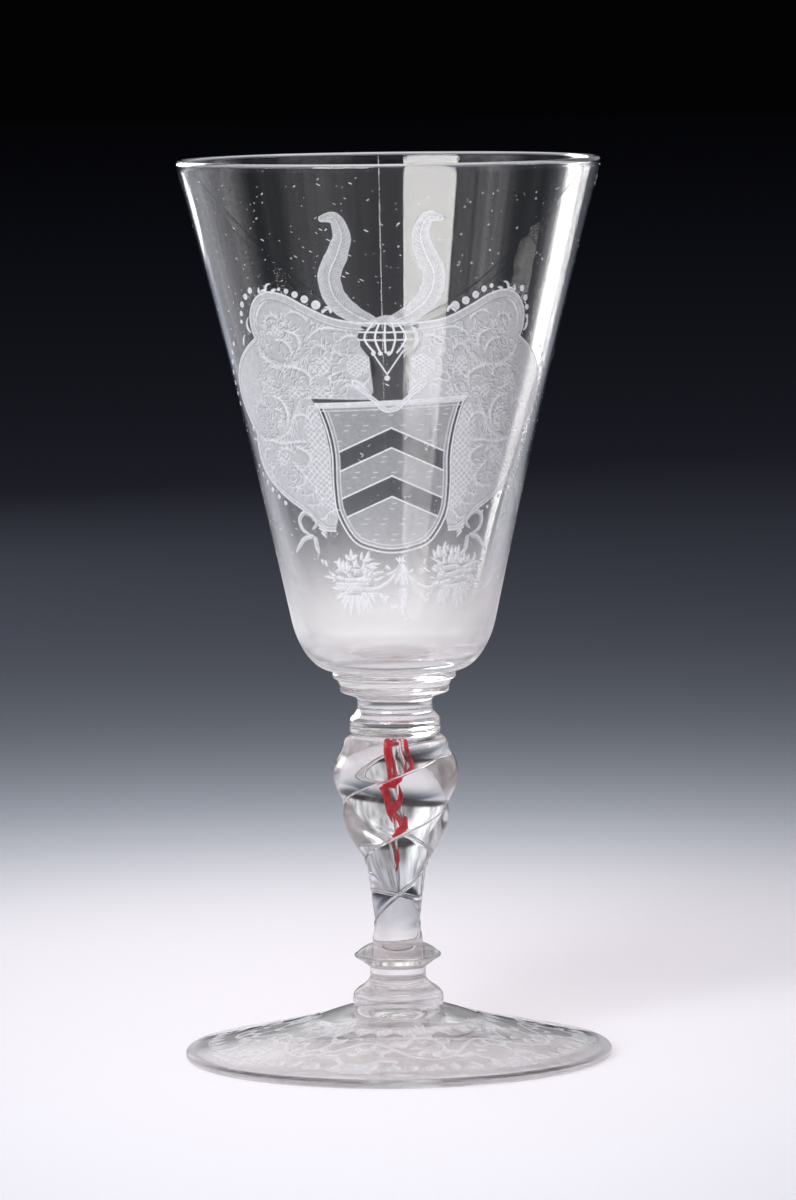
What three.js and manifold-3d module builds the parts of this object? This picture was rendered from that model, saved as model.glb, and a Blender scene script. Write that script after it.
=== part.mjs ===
// A goblet of clear soda glass: a conical foot, a stem of hot-worked knops and collars round a
// wrythen baluster with a ruby thread in its air tear, and a tall funnel bowl.
// Millimetres, +Z up. The origin is the centre of the plane that the foot rests on.

import * as THREE from "three";
import Module from "manifold-3d";
import { mergeVertices } from "three/addons/utils/BufferGeometryUtils.js";

// Driving dimensions. Radii are measured from the axis of the stem, and each rise is the height of
// one stretch of a piece, from the table up.

const foot = {
  radius: 47.6,
  edge: 2.2, // thickness of the rounded edge
  flatRise: 6.7, // from the edge to the ring where the cone steepens
  shoulderRadius: 18, // radius of that ring
  steepRise: 2.6, // from there to the seam with the base knop
  wall: 2.8, // thickness of the dome
  restWidth: 1.4, // flat ring that touches the table
  pontilRadius: 6, // scar of the iron that held the foot
  pontilDepth: 0.6,
};

const baseKnop = {
  radius: 10.1,
  bulgeRise: 1.7,
  shoulderRise: 5.2,
  neckRise: 1.6,
};

const lowerMerese = {
  radius: 9.65,
  halfRise: 2.65, // from either seam to its edge
  lip: 0.5, // radius of that edge
  underRadius: 7.4, // handle of its underside
  underRise: 0.9,
  domeRadius: 7.8, // handle of its domed top
  domeRise: 4.6,
};

const baluster = {
  stemRadius: 5.55,
  radius: 13.95,
  rootRise: 5, // the lobes grow over this height above the merese
  stemRise: 3,
  swellRise: 30.4, // from the stem to the widest ring
  shoulderRise: 8.5, // from the widest ring to the seam with the ring knop
  lowerHandle: 12, // how long the swelling stays as slim as the stem
  upperHandle: 14, // how long it is nearly as wide as the widest ring
  shoulderHandle: 4.7, // how long the shoulder stays that wide
  lobes: 2, // spiral lobes, with a sharp crease between each two
  lobeDepth: 0.13, // depth of a crease, as a share of the radius there
  lobeFade: 5, // the lobes die out over this height below the top
  lead: 26.8, // rise of a lobe in one full turn
  creaseHeight: 23.8, // where a crease crosses the front, above the piece's lower seam
};

const tear = {
  radius: 2.3, // at the top, under the ring knop
  tipHeight: 10.7, // glass below its tip, down to the baluster's lower seam
};

const thread = {
  radius: 0.6, // of the thick upper part
  tipRadius: 0.3,
  lead: 6.6, // rise in one full turn
  tipRise: 6.6, // from the tear's tip to the thread's lower end
  clearance: 0.3, // to the wall and to the top of the tear
};

const ringKnop = {
  radius: 10.15,
  lowerRise: 1.1, // from the seam to the full bulge
  bulgeRise: 1.7,
  shoulderRise: 3.4,
  neckRise: 1.5,
};

const lowerCollar = {
  radius: 12.25,
  flareRise: 2.4,
  edgeRise: 1,
};

const upperCollar = {
  radius: 13.85,
  coneRise: 1.3,
  edge: 1.9, // thickness of its rounded edge
};

const bowl = {
  baseRadius: 22.6, // where the rounded base meets the funnel
  baseRise: 11,
  rimRadius: 47,
  funnelRise: 101.5,
  bow: 0.75, // how far the wall lies inside a straight funnel, half way up
  lipWall: 2, // the blown wall thins from the lip to the middle and thickens towards the base
  middleWall: 1.45,
  baseWall: 3.4,
  floor: 4.4, // thickness of the glass under the middle of the bowl
  floorHandle: 15.6, // how far out the floor stays nearly flat
};

// Radii of the round seams at which two neighbours are fused face to face
const seam = {
  footToKnop: 10,
  knopToMerese: 6.2,
  mereseToBaluster: 5.6,
  balusterToRing: 9.4,
  ringToCollar: 8.4,
  collarToCollar: 12.2,
  collarToBowl: 13.5,
};

// Facets of the curved surfaces
const roundSides = 64; // round the bowl and the foot
const stemSides = 36; // round the pieces of the stem
const tearSides = 18;
const threadSides = 6;
const curveSteps = 4; // along one curve of an outline
const lobeRows = 42; // up the baluster
const tearRows = 14;
const threadSteps = 16; // along one turn of the thread

const clearGlass = { color: 0xe9eef0, roughness: 0.05, metalness: 0 };
const rubyGlass = { color: 0xc4122c, roughness: 0.1, metalness: 0 };

const footHeight = foot.edge + foot.flatRise + foot.steepRise;
const balusterHeight =
  baluster.rootRise + baluster.stemRise + baluster.swellRise + baluster.shoulderRise;
const tearLength = balusterHeight - tear.tipHeight;

const wasm = await Module();
wasm.setup();

// A solid of revolution. The outline is drawn in (radius, height) and runs from the axis out along
// the bottom, up the outside and back to the axis.
function revolve(outline, sides) {
  const geometry = new THREE.LatheGeometry(outline.getPoints(curveSteps), sides);
  geometry.rotateX(Math.PI / 2);
  return geometry;
}

// A closed surface through rings of points, each ring a list of [x, y, z]. A fan closes both ends,
// and each facet is split along the diagonal that suits a surface that twists as it rises.
function loft(rings) {
  const sides = rings[0].length;
  const lastRing = (rings.length - 1) * sides;
  const faces = [];
  for (let row = 0; row < lastRing; row += sides) {
    for (let side = 0; side < sides; side++) {
      const here = row + side;
      const next = row + ((side + 1) % sides);
      faces.push(here, next, here + sides);
      faces.push(next, next + sides, here + sides);
    }
  }
  for (let side = 1; side + 1 < sides; side++) {
    faces.push(0, side + 1, side);
    faces.push(lastRing, lastRing + side, lastRing + side + 1);
  }
  const geometry = new THREE.BufferGeometry();
  geometry.setAttribute("position", new THREE.Float32BufferAttribute(rings.flat(2), 3));
  geometry.setIndex(faces);
  geometry.computeVertexNormals();
  return geometry;
}

// A geometry as a solid that can be cut
function toSolid(geometry) {
  const bare = new THREE.BufferGeometry();
  bare.setAttribute("position", geometry.getAttribute("position"));
  bare.setIndex(geometry.getIndex());
  const merged = mergeVertices(bare);
  const mesh = new wasm.Mesh({
    numProp: 3,
    vertProperties: merged.getAttribute("position").array,
    triVerts: new Uint32Array(merged.getIndex().array),
  });
  return new wasm.Manifold(mesh);
}

// One geometry with another cut out of it
function cut(geometry, tool) {
  const mesh = toSolid(geometry).subtract(toSolid(tool)).getMesh();
  const result = new THREE.BufferGeometry();
  result.setAttribute("position", new THREE.BufferAttribute(mesh.vertProperties, 3));
  result.setIndex(new THREE.BufferAttribute(mesh.triVerts, 1));
  result.computeVertexNormals();
  return result;
}

// The foot: a cone that flattens towards a rounded edge. It is hollow underneath, so that it rests
// on a narrow flat ring and the pontil scar stays clear of the table.
function makeFoot() {
  const half = foot.edge / 2;
  const edgeCentre = foot.radius - half;
  const restInner = edgeCentre - foot.restWidth;
  const hollowTop = footHeight - foot.wall;
  const shoulderHeight = foot.edge + foot.flatRise;
  const outline = new THREE.Path();
  outline.moveTo(0, hollowTop - foot.pontilDepth);
  outline.lineTo(foot.pontilRadius, hollowTop - foot.pontilDepth);
  outline.lineTo(foot.pontilRadius, hollowTop);
  outline.quadraticCurveTo(
    seam.footToKnop, hollowTop,
    foot.shoulderRadius, shoulderHeight - foot.wall,
  );
  outline.quadraticCurveTo(restInner - foot.wall, half, restInner, 0);
  outline.lineTo(edgeCentre, 0);
  outline.absarc(edgeCentre, half, half, -Math.PI / 2, Math.PI / 2, false);
  outline.lineTo(foot.shoulderRadius, shoulderHeight);
  outline.lineTo(seam.footToKnop, footHeight);
  outline.lineTo(0, footHeight);
  return revolve(outline, roundSides);
}

// The base knop: a low bulge on the foot that draws in to a neck.
function makeBaseKnop() {
  const neckBottom = baseKnop.bulgeRise + baseKnop.shoulderRise;
  const middle = baseKnop.bulgeRise + baseKnop.shoulderRise / 2;
  const outline = new THREE.Path();
  outline.moveTo(0, 0);
  outline.lineTo(seam.footToKnop, 0);
  outline.quadraticCurveTo(
    baseKnop.radius, baseKnop.bulgeRise / 2,
    baseKnop.radius, baseKnop.bulgeRise,
  );
  outline.bezierCurveTo(
    baseKnop.radius, middle,
    seam.knopToMerese, middle,
    seam.knopToMerese, neckBottom,
  );
  outline.lineTo(seam.knopToMerese, neckBottom + baseKnop.neckRise);
  outline.lineTo(0, neckBottom + baseKnop.neckRise);
  return revolve(outline, stemSides);
}

// The lower merese: a disc with a domed top, squeezed out to a thin rounded edge.
function makeLowerMerese() {
  const { lip, halfRise: middle } = lowerMerese;
  const edgeCentre = lowerMerese.radius - lip;
  const outline = new THREE.Path();
  outline.moveTo(0, 0);
  outline.lineTo(seam.knopToMerese, 0);
  outline.quadraticCurveTo(
    lowerMerese.underRadius, lowerMerese.underRise,
    edgeCentre, middle - lip,
  );
  outline.absarc(edgeCentre, middle, lip, -Math.PI / 2, Math.PI / 2, false);
  outline.quadraticCurveTo(
    lowerMerese.domeRadius, lowerMerese.domeRise,
    seam.mereseToBaluster, 2 * middle,
  );
  outline.lineTo(0, 2 * middle);
  return revolve(outline, stemSides);
}

// The side of the baluster as it would be without its lobes, from the lower seam to the upper one
function balusterSide() {
  const stemTop = baluster.rootRise + baluster.stemRise;
  const widest = stemTop + baluster.swellRise;
  const side = new THREE.Path();
  side.moveTo(seam.mereseToBaluster, 0);
  side.quadraticCurveTo(
    baluster.stemRadius, baluster.rootRise / 2,
    baluster.stemRadius, baluster.rootRise,
  );
  side.lineTo(baluster.stemRadius, stemTop);
  side.bezierCurveTo(
    baluster.stemRadius, stemTop + baluster.lowerHandle,
    baluster.radius, widest - baluster.upperHandle,
    baluster.radius, widest,
  );
  side.bezierCurveTo(
    baluster.radius, widest + baluster.shoulderHandle,
    (baluster.radius + seam.balusterToRing) / 2, balusterHeight,
    seam.balusterToRing, balusterHeight,
  );
  return side;
}

// One ring of the baluster. Its points are counted from a crease, so that the facets follow the
// spiral, and the radius there is radius * (1 - depth + depth * |sin(lobes * angle / 2)|), which is
// full at the crown of each lobe and sharp at the crease.
function balusterRing(radius, height) {
  const { smoothstep } = THREE.MathUtils;
  const fadeBelow = smoothstep(height, 0, baluster.rootRise);
  const fadeAbove = smoothstep(balusterHeight - height, 0, baluster.lobeFade);
  const depth = baluster.lobeDepth * fadeBelow * fadeAbove;
  const turns = (height - baluster.creaseHeight) / baluster.lead;
  const crease = 2 * Math.PI * turns - Math.PI / 2;
  const ring = [];
  for (let side = 0; side < stemSides; side++) {
    const angle = (2 * Math.PI * side) / stemSides;
    const crown = Math.abs(Math.sin((baluster.lobes * angle) / 2));
    const reach = radius * (1 - depth + depth * crown);
    ring.push([reach * Math.cos(crease + angle), reach * Math.sin(crease + angle), height]);
  }
  return ring;
}

// Radius of the air tear at a height above its tip
function tearRadius(height) {
  return tear.radius * Math.sin(((Math.PI / 2) * height) / tearLength);
}

// The tear as a solid to cut with. It runs past the top, where the ring knop closes the real one.
function makeTear() {
  const pastTop = tear.radius;
  const outline = new THREE.Path();
  outline.moveTo(0, tear.tipHeight);
  for (let row = 1; row <= tearRows; row++) {
    const height = (tearLength * row) / tearRows;
    outline.lineTo(tearRadius(height), tear.tipHeight + height);
  }
  outline.lineTo(tear.radius, balusterHeight + pastTop);
  outline.lineTo(0, balusterHeight + pastTop);
  return revolve(outline, tearSides);
}

// The wrythen baluster: an inverted baluster with spiral lobes, hollowed by the air tear.
function makeBaluster() {
  const side = balusterSide().getSpacedPoints(lobeRows);
  const body = loft(side.map((point) => balusterRing(point.x, point.y)));
  return cut(body, makeTear());
}

// The ruby thread: it coils up inside the tear, close to its wall, and thins out downwards. Its
// lowest point is the origin of the geometry.
function makeRubyThread() {
  const length = tearLength - thread.tipRise - thread.clearance;
  const steps = Math.ceil((length / thread.lead) * threadSteps);
  const rings = [];
  for (let step = 0; step <= steps; step++) {
    const share = step / steps;
    const height = length * share;
    const radius = THREE.MathUtils.lerp(thread.tipRadius, thread.radius, share);
    const room = tearRadius(thread.tipRise + height) - thread.clearance - radius;
    const coil = Math.max(0, room);
    const turn = (2 * Math.PI * height) / thread.lead;
    const ring = [];
    for (let side = 0; side < threadSides; side++) {
      const angle = turn + (2 * Math.PI * side) / threadSides;
      const x = coil * Math.cos(turn) + radius * Math.cos(angle);
      const y = coil * Math.sin(turn) + radius * Math.sin(angle);
      ring.push([x, y, height]);
    }
    rings.push(ring);
  }
  return loft(rings);
}

// The ring knop: a plump ring over the baluster, drawn in to the neck that carries the collars.
function makeRingKnop() {
  const bulgeTop = ringKnop.lowerRise + ringKnop.bulgeRise;
  const neckBottom = bulgeTop + ringKnop.shoulderRise;
  const middle = bulgeTop + ringKnop.shoulderRise / 2;
  const outline = new THREE.Path();
  outline.moveTo(0, 0);
  outline.lineTo(seam.balusterToRing, 0);
  outline.quadraticCurveTo(
    ringKnop.radius, ringKnop.lowerRise / 2,
    ringKnop.radius, ringKnop.lowerRise,
  );
  outline.lineTo(ringKnop.radius, bulgeTop);
  outline.bezierCurveTo(
    ringKnop.radius, middle,
    seam.ringToCollar, middle,
    seam.ringToCollar, neckBottom,
  );
  outline.lineTo(seam.ringToCollar, neckBottom + ringKnop.neckRise);
  outline.lineTo(0, neckBottom + ringKnop.neckRise);
  return revolve(outline, stemSides);
}

// The lower collar: it flares from the neck to a short upright edge.
function makeLowerCollar() {
  const height = lowerCollar.flareRise + lowerCollar.edgeRise;
  const middle = lowerCollar.flareRise / 2;
  const outline = new THREE.Path();
  outline.moveTo(0, 0);
  outline.lineTo(seam.ringToCollar, 0);
  outline.bezierCurveTo(
    seam.ringToCollar, middle,
    lowerCollar.radius, middle,
    lowerCollar.radius, lowerCollar.flareRise,
  );
  outline.lineTo(seam.collarToCollar, height);
  outline.lineTo(0, height);
  return revolve(outline, stemSides);
}

// The upper collar: a round-edged ring that carries the bowl.
function makeUpperCollar() {
  const half = upperCollar.edge / 2;
  const edgeCentre = upperCollar.radius - half;
  const edgeHeight = upperCollar.coneRise + half;
  const outline = new THREE.Path();
  outline.moveTo(0, 0);
  outline.lineTo(seam.collarToCollar, 0);
  outline.lineTo(edgeCentre, upperCollar.coneRise);
  outline.absarc(edgeCentre, edgeHeight, half, -Math.PI / 2, Math.PI / 3, false);
  outline.lineTo(seam.collarToBowl, edgeHeight + half);
  outline.lineTo(0, edgeHeight + half);
  return revolve(outline, stemSides);
}

// The bowl: a funnel on a thick rounded base, with a fire-polished lip. Half way up a quadratic
// curve lies half way between its handle and the middle of its ends, so each handle is set out by
// twice what the curve there needs.
function makeBowl() {
  const half = bowl.lipWall / 2;
  const lipHeight = bowl.baseRise + bowl.funnelRise;
  const draft = (bowl.rimRadius - bowl.baseRadius) / bowl.funnelRise;
  const middleRadius = (bowl.baseRadius + bowl.rimRadius) / 2 - 2 * bowl.bow;
  const middleHeight = bowl.baseRise + bowl.funnelRise / 2;
  const innerBase = bowl.baseRadius - bowl.baseWall;
  const handleWall = 2 * bowl.middleWall - (bowl.lipWall + bowl.baseWall) / 2;
  const turnHeight = bowl.baseRise / 2;
  const turnRadius = bowl.baseRadius - draft * turnHeight;
  const outline = new THREE.Path();
  outline.moveTo(0, 0);
  outline.lineTo(seam.collarToBowl, 0);
  outline.bezierCurveTo(
    (seam.collarToBowl + bowl.baseRadius) / 2, 0,
    turnRadius, turnHeight,
    bowl.baseRadius, bowl.baseRise,
  );
  outline.quadraticCurveTo(middleRadius, middleHeight, bowl.rimRadius, lipHeight);
  outline.absarc(bowl.rimRadius - half, lipHeight, half, 0, Math.PI, false);
  outline.quadraticCurveTo(
    middleRadius - handleWall, middleHeight,
    innerBase, bowl.baseRise,
  );
  outline.bezierCurveTo(
    turnRadius - bowl.baseWall, turnHeight,
    bowl.floorHandle, bowl.floor,
    0, bowl.floor,
  );
  return revolve(outline, roundSides);
}

const goblet = new THREE.Group();
let level = 0; // height of the seam that the next piece stands on

// Adds a named piece at a height above the table.
function place(name, geometry, finish, height) {
  const mesh = new THREE.Mesh(geometry, new THREE.MeshStandardMaterial(finish));
  mesh.name = name;
  mesh.position.z = height;
  goblet.add(mesh);
}

// Fuses a piece of clear glass to the top of the last one.
function stack(name, geometry) {
  geometry.computeBoundingBox();
  place(name, geometry, clearGlass, level);
  level += geometry.boundingBox.max.z;
}

stack("foot", makeFoot());
stack("base_knop", makeBaseKnop());
stack("lower_merese", makeLowerMerese());
place("ruby_thread", makeRubyThread(), rubyGlass, level + tear.tipHeight + thread.tipRise);
stack("baluster", makeBaluster());
stack("ring_knop", makeRingKnop());
stack("lower_collar", makeLowerCollar());
stack("upper_collar", makeUpperCollar());
stack("bowl", makeBowl());

export default goblet;
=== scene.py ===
"""The visual model of an engraved glass goblet with a wrythen stem and a ruby thread.

Every glass piece is a closed surface worked out with numpy from an outline or from a function of
two parameters. Outlines are in millimetres, (radius, height above the piece's lower seam), and
become metres when a mesh is made. Neighbouring pieces of glass meet at flat seams that light passes
straight through, because the real pieces are fused there.
"""

import math

import bpy
import numpy as np
from mathutils import Matrix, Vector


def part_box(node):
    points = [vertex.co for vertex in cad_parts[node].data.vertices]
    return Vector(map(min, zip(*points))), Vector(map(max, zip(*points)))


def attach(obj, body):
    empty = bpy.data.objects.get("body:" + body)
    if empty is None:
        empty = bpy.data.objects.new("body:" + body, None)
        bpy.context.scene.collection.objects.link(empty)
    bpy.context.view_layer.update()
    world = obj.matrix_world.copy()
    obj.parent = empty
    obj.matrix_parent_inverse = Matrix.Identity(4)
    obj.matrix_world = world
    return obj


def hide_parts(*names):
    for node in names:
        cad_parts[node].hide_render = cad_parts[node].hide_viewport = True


MM = 0.001
SIDES = 288  # round a revolved piece
SHARP = math.radians(38)  # an edge that turns more than this stays sharp

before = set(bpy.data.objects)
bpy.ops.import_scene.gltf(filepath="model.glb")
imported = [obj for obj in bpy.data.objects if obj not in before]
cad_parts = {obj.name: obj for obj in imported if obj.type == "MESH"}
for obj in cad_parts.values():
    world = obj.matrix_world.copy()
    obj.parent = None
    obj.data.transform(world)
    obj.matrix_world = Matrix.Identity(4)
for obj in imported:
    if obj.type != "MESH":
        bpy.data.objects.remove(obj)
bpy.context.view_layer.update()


# Outlines

def line(a, b, n=12):
    """Points from a to b in even steps."""
    t = np.linspace(0, 1, n)[:, None]
    return (1 - t) * np.array(a, float) + t * np.array(b, float)


def bend(a, handle, b, n=36):
    """The quadratic curve a(1-t)^2 + 2 handle t(1-t) + b t^2."""
    t = np.linspace(0, 1, n)[:, None]
    a, handle, b = (np.array(p, float) for p in (a, handle, b))
    return a * (1 - t) ** 2 + 2 * handle * t * (1 - t) + b * t ** 2


def curve(a, handle_a, handle_b, b, n=48):
    """The cubic curve a(1-t)^3 + 3 handle_a t(1-t)^2 + 3 handle_b t^2(1-t) + b t^3."""
    t = np.linspace(0, 1, n)[:, None]
    a, p, q, b = (np.array(v, float) for v in (a, handle_a, handle_b, b))
    return a * (1 - t) ** 3 + 3 * p * t * (1 - t) ** 2 + 3 * q * t ** 2 * (1 - t) + b * t ** 3


def arc(centre, radius, start, end, n=36):
    """Points on a circle from one angle to another, in degrees."""
    a = np.radians(np.linspace(start, end, n))
    return np.array(centre, float) + radius * np.stack([np.cos(a), np.sin(a)], 1)


def join(*stretches):
    """One outline from several, with the points that two of them share kept once."""
    points = np.concatenate(stretches)
    keep = np.ones(len(points), bool)
    keep[1:] = np.linalg.norm(np.diff(points, axis=0), axis=1) > 1e-6
    return points[keep]


def even(points, rows):
    """The same outline with its points evenly spaced along it."""
    length = np.concatenate([[0], np.cumsum(np.linalg.norm(np.diff(points, axis=0), axis=1))])
    at = np.linspace(0, length[-1], rows)
    return np.stack([np.interp(at, length, points[:, i]) for i in range(points.shape[1])], 1)


# Meshes

def grid_faces(rows, columns, first=0):
    """The quads of a grid of points that closes on itself round its columns."""
    row = np.arange(rows - 1)[:, None] * columns
    here = np.arange(columns)[None, :]
    after = (here + 1) % columns
    quads = np.stack([row + here, row + after, row + after + columns, row + here + columns], -1)
    return quads.reshape(-1, 4) + first


def make_mesh(name, points, faces, materials, slots=None):
    """A piece from points in millimetres and a list of faces, with its edges sharp at SHARP."""
    mesh = bpy.data.meshes.new(name)
    mesh.from_pydata((np.asarray(points) * MM).tolist(), [], faces)
    for material in materials:
        mesh.materials.append(material)
    if slots is not None:
        mesh.polygons.foreach_set("material_index", np.asarray(slots, np.int32))
    mesh.polygons.foreach_set("use_smooth", np.ones(len(faces), bool))
    mesh.set_sharp_from_angle(angle=SHARP)
    mesh.update()
    piece = bpy.data.objects.new(name, mesh)
    bpy.context.scene.collection.objects.link(piece)
    return piece


def closed_surface(rings, low, high):
    """Points and faces of a stack of rings, (rows, columns, 3), closed with a fan at each end that
    meets at the points low and high."""
    rows, columns, _ = rings.shape
    points = np.concatenate([[low], rings.reshape(-1, 3), [high]])
    side = np.arange(columns)
    after = (side + 1) % columns
    last = 1 + (rows - 1) * columns
    bottom = np.stack([np.zeros(columns, int), after + 1, side + 1], 1)
    top = np.stack([last + side, last + after, np.full(columns, len(points) - 1)], 1)
    wall = grid_faces(rows, columns, first=1)
    return points, bottom, wall, top


def turned(outline, sides=SIDES):
    """Rings of the surface of revolution (r cos a, r sin a, z) of an outline."""
    a = np.linspace(0, 2 * np.pi, sides, endpoint=False)
    r, z = outline[:, :1], outline[:, 1:]
    return np.stack([r * np.cos(a), r * np.sin(a), z + 0 * a], -1)


def glass_piece(node, outline):
    """A turned piece of the stem in place of a CAD node. The outline runs up its outside, and flat
    discs close it: the seams where the piece is fused to its neighbours."""
    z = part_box(node)[0].z / MM
    rings = turned(outline + np.array([0, z]))
    low, high = [0, 0, rings[0, 0, 2]], [0, 0, rings[-1, 0, 2]]
    points, bottom, wall, top = closed_surface(rings, low, high)
    slots = [1] * len(bottom) + [0] * len(wall) + [1] * len(top)
    faces = bottom.tolist() + wall.tolist() + top.tolist()
    piece = make_mesh(node + "_glass", points, faces, [STEM_GLASS_PAINTED, SEAM], slots)
    dress(piece, node)
    return piece


def dress(piece, node=None):
    """Fixes a piece to the goblet and hides the CAD node that it replaces."""
    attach(piece, "root")
    if node:
        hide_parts(node)


# Materials

def linear(code):
    """An sRGB hex colour such as "e8eaec" as linear RGBA."""
    c = np.array([int(code[i:i + 2], 16) for i in (0, 2, 4)]) / 255
    c = np.where(c <= 0.04045, c / 12.92, ((c + 0.055) / 1.055) ** 2.4)
    return (*c.tolist(), 1.0)


def node(tree, kind, inputs=None, **settings):
    """Adds a shader node. An input is a value, or another node's output to link."""
    made = tree.nodes.new("ShaderNode" + kind)
    for key, value in settings.items():
        setattr(made, key, value)
    for key, value in (inputs or {}).items():
        if isinstance(value, bpy.types.NodeSocket):
            tree.links.new(value, made.inputs[key])
        else:
            made.inputs[key].default_value = value
    return made


def material(name):
    """An empty node material: its tree and its output's surface socket."""
    made = bpy.data.materials.new(name)
    made.use_nodes = True
    made.node_tree.nodes.clear()
    output = made.node_tree.nodes.new("ShaderNodeOutputMaterial")
    return made, made.node_tree, output.inputs["Surface"]


def clear_glass():
    """Soda glass, blown and fire-polished: clear, hard bright highlights, a breath of grey. Lamps
    shine through it, as they do through a thin clear wall."""
    made, tree, surface = material("soda_glass_fire_polished")
    glass = node(tree, "BsdfPrincipled", {
        "Base Color": linear("fbfaf9"), "Roughness": 0.0, "IOR": 1.5, "Transmission Weight": 1.0})
    through = node(tree, "BsdfTransparent", {"Color": linear("ece9e8")})
    path = node(tree, "LightPath")
    soft = node(tree, "Math", {0: path.outputs["Is Shadow Ray"], 1: path.outputs["Is Diffuse Ray"]},
                operation="MAXIMUM")
    mixed = node(tree, "MixShader", {
        0: soft.outputs[0], 1: glass.outputs[0], 2: through.outputs[0]})
    tree.links.new(mixed.outputs[0], surface)
    return made


def hazed_glass(name, thick, thin, cover, tint, ground):
    """The same glass with a white haze painted into it, painted light that brightens it, from the height
    where it is thick to the height where it is gone, and denser where it is seen at a slant. Below
    the heights in ground it thins out again."""
    made = clear_glass()
    made.name = name
    tree = made.node_tree
    surface = tree.nodes["Material Output"].inputs["Surface"]
    clear = surface.links[0].from_socket
    height = node(tree, "SeparateXYZ", {0: node(tree, "TexCoord").outputs["Object"]}).outputs["Z"]
    haze = node(tree, "MapRange", {"Value": height, "From Min": thin, "From Max": thick})
    haze = node(tree, "Math", {0: haze.outputs[0], 1: 2.0}, operation="POWER").outputs[0]
    below = node(tree, "MapRange", {"Value": height, "From Min": ground[0], "From Max": ground[1],
                                    "To Min": 0.2 * cover, "To Max": cover})
    haze = node(tree, "Math", {0: haze, 1: below.outputs[0]}, operation="MULTIPLY").outputs[0]
    facing = node(tree, "LayerWeight", {"Blend": 0.5}).outputs["Facing"]
    longer = node(tree, "MapRange", {"Value": facing, "From Min": 0.5, "To Min": 1.0, "To Max": 3.2})
    haze = node(tree, "Math", {0: haze, 1: longer.outputs[0]}, operation="MULTIPLY", use_clamp=True)
    lit = node(tree, "BsdfDiffuse", {"Color": linear(tint)})
    glow = node(tree, "BsdfTranslucent", {"Color": linear(tint)})
    both = node(tree, "MixShader", {0: 0.5, 1: lit.outputs[0], 2: glow.outputs[0]})
    mixed = node(tree, "MixShader", {0: haze.outputs[0], 1: clear, 2: both.outputs[0]})
    tree.links.new(mixed.outputs[0], surface)
    return made


def painted_haze_bowl_glass():
    """The bowl's glass: painted light, a white haze low in the bowl for its brightness there, that thins
    out upwards.
    """
    return hazed_glass("soda_glass_with_painted_haze", 0.0940, 0.125, 0.62, "fefeff", (0.0920, 0.0965))


def stem_glass_painted():
    """The stem's thick glass, with painted light and shade: a faint white haze painted over it that
    lightens its dark reflections a little, a painted grey shade where the baluster is slender, and
    painted darker, browner outlines where it is seen at a slant."""
    made = hazed_glass("soda_glass_stem_painted_light_and_shade", 0.0900, 0.0940, 0.035, "fff2f0", (0.0262, 0.0264))
    tree = made.node_tree
    place = node(tree, "TexCoord").outputs["Object"]
    height = node(tree, "SeparateXYZ", {0: place}).outputs["Z"]
    # Painted shade: a grey where the baluster is slender.
    above = node(tree, "MapRange", {"Value": height, "From Min": 0.0265, "From Max": 0.0320},
                 interpolation_type="SMOOTHSTEP")
    below = node(tree, "MapRange", {"Value": height, "From Min": 0.0540, "From Max": 0.0430},
                 interpolation_type="SMOOTHSTEP")
    grey = node(tree, "Math", {0: above.outputs[0], 1: below.outputs[0]}, operation="MULTIPLY")
    colour = node(tree, "MixRGB", {"Fac": grey.outputs[0], "Color1": linear("fbfbfa"),
                                   "Color2": linear("cfd2d6")})
    # Painted shade: darker, browner outlines where the glass is seen at a slant.
    facing = node(tree, "LayerWeight", {"Blend": 0.5}).outputs["Facing"]
    slant = node(tree, "MapRange", {"Value": facing, "From Min": 0.62, "From Max": 0.97},
                 interpolation_type="SMOOTHSTEP")
    colour = node(tree, "MixRGB", {"Fac": slant.outputs[0], "Color1": colour.outputs[0],
                                   "Color2": linear("968f89")})
    tree.links.new(colour.outputs[0], tree.nodes["Principled BSDF"].inputs["Base Color"])
    return made


def edged_glass():
    """The foot's glass. On its rounded edge a share of plain see-through is painted in, painted light
    that takes away much of the room's dark reflections there, so that most of the light goes straight on."""
    made = clear_glass()
    made.name = "soda_glass_edge_painted_light"
    tree = made.node_tree
    surface = tree.nodes["Material Output"].inputs["Surface"]
    clear = surface.links[0].from_socket
    place = node(tree, "SeparateXYZ", {0: node(tree, "TexCoord").outputs["Object"]})
    flat = node(tree, "CombineXYZ", {"X": place.outputs["X"], "Y": place.outputs["Y"]})
    reach = node(tree, "VectorMath", {0: flat.outputs[0]}, operation="LENGTH")
    # Painted light: a see-through share that rises towards the rounded edge.
    share = node(tree, "MapRange", {"Value": reach.outputs["Value"], "From Min": 0.0430,
                                    "From Max": 0.0455, "To Min": 0.0, "To Max": 0.36})
    through = node(tree, "BsdfTransparent", {"Color": linear("fefeff")})
    mixed = node(tree, "MixShader", {0: share.outputs[0], 1: clear, 2: through.outputs[0]})
    tree.links.new(mixed.outputs[0], surface)
    return made


def fused_seam():
    """The plane where two pieces of hot glass have run together: light passes straight on."""
    made, tree, surface = material("glass_fused_seam")
    through = node(tree, "BsdfTransparent", {"Color": (1, 1, 1, 1)})
    tree.links.new(through.outputs[0], surface)
    return made


def ruby_glass():
    """Gold-ruby glass drawn to a thread and cased in clear glass: scarlet where it is thin and
    deep red where it is thick. Its IOR is the ratio to the clear glass round it."""
    made, tree, surface = material("ruby_glass_thread")
    glass = node(tree, "BsdfPrincipled", {
        "Base Color": linear("f4203a"), "Roughness": 0.03, "IOR": 1.14,
        "Transmission Weight": 0.7})
    tree.links.new(glass.outputs[0], surface)
    return made


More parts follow.
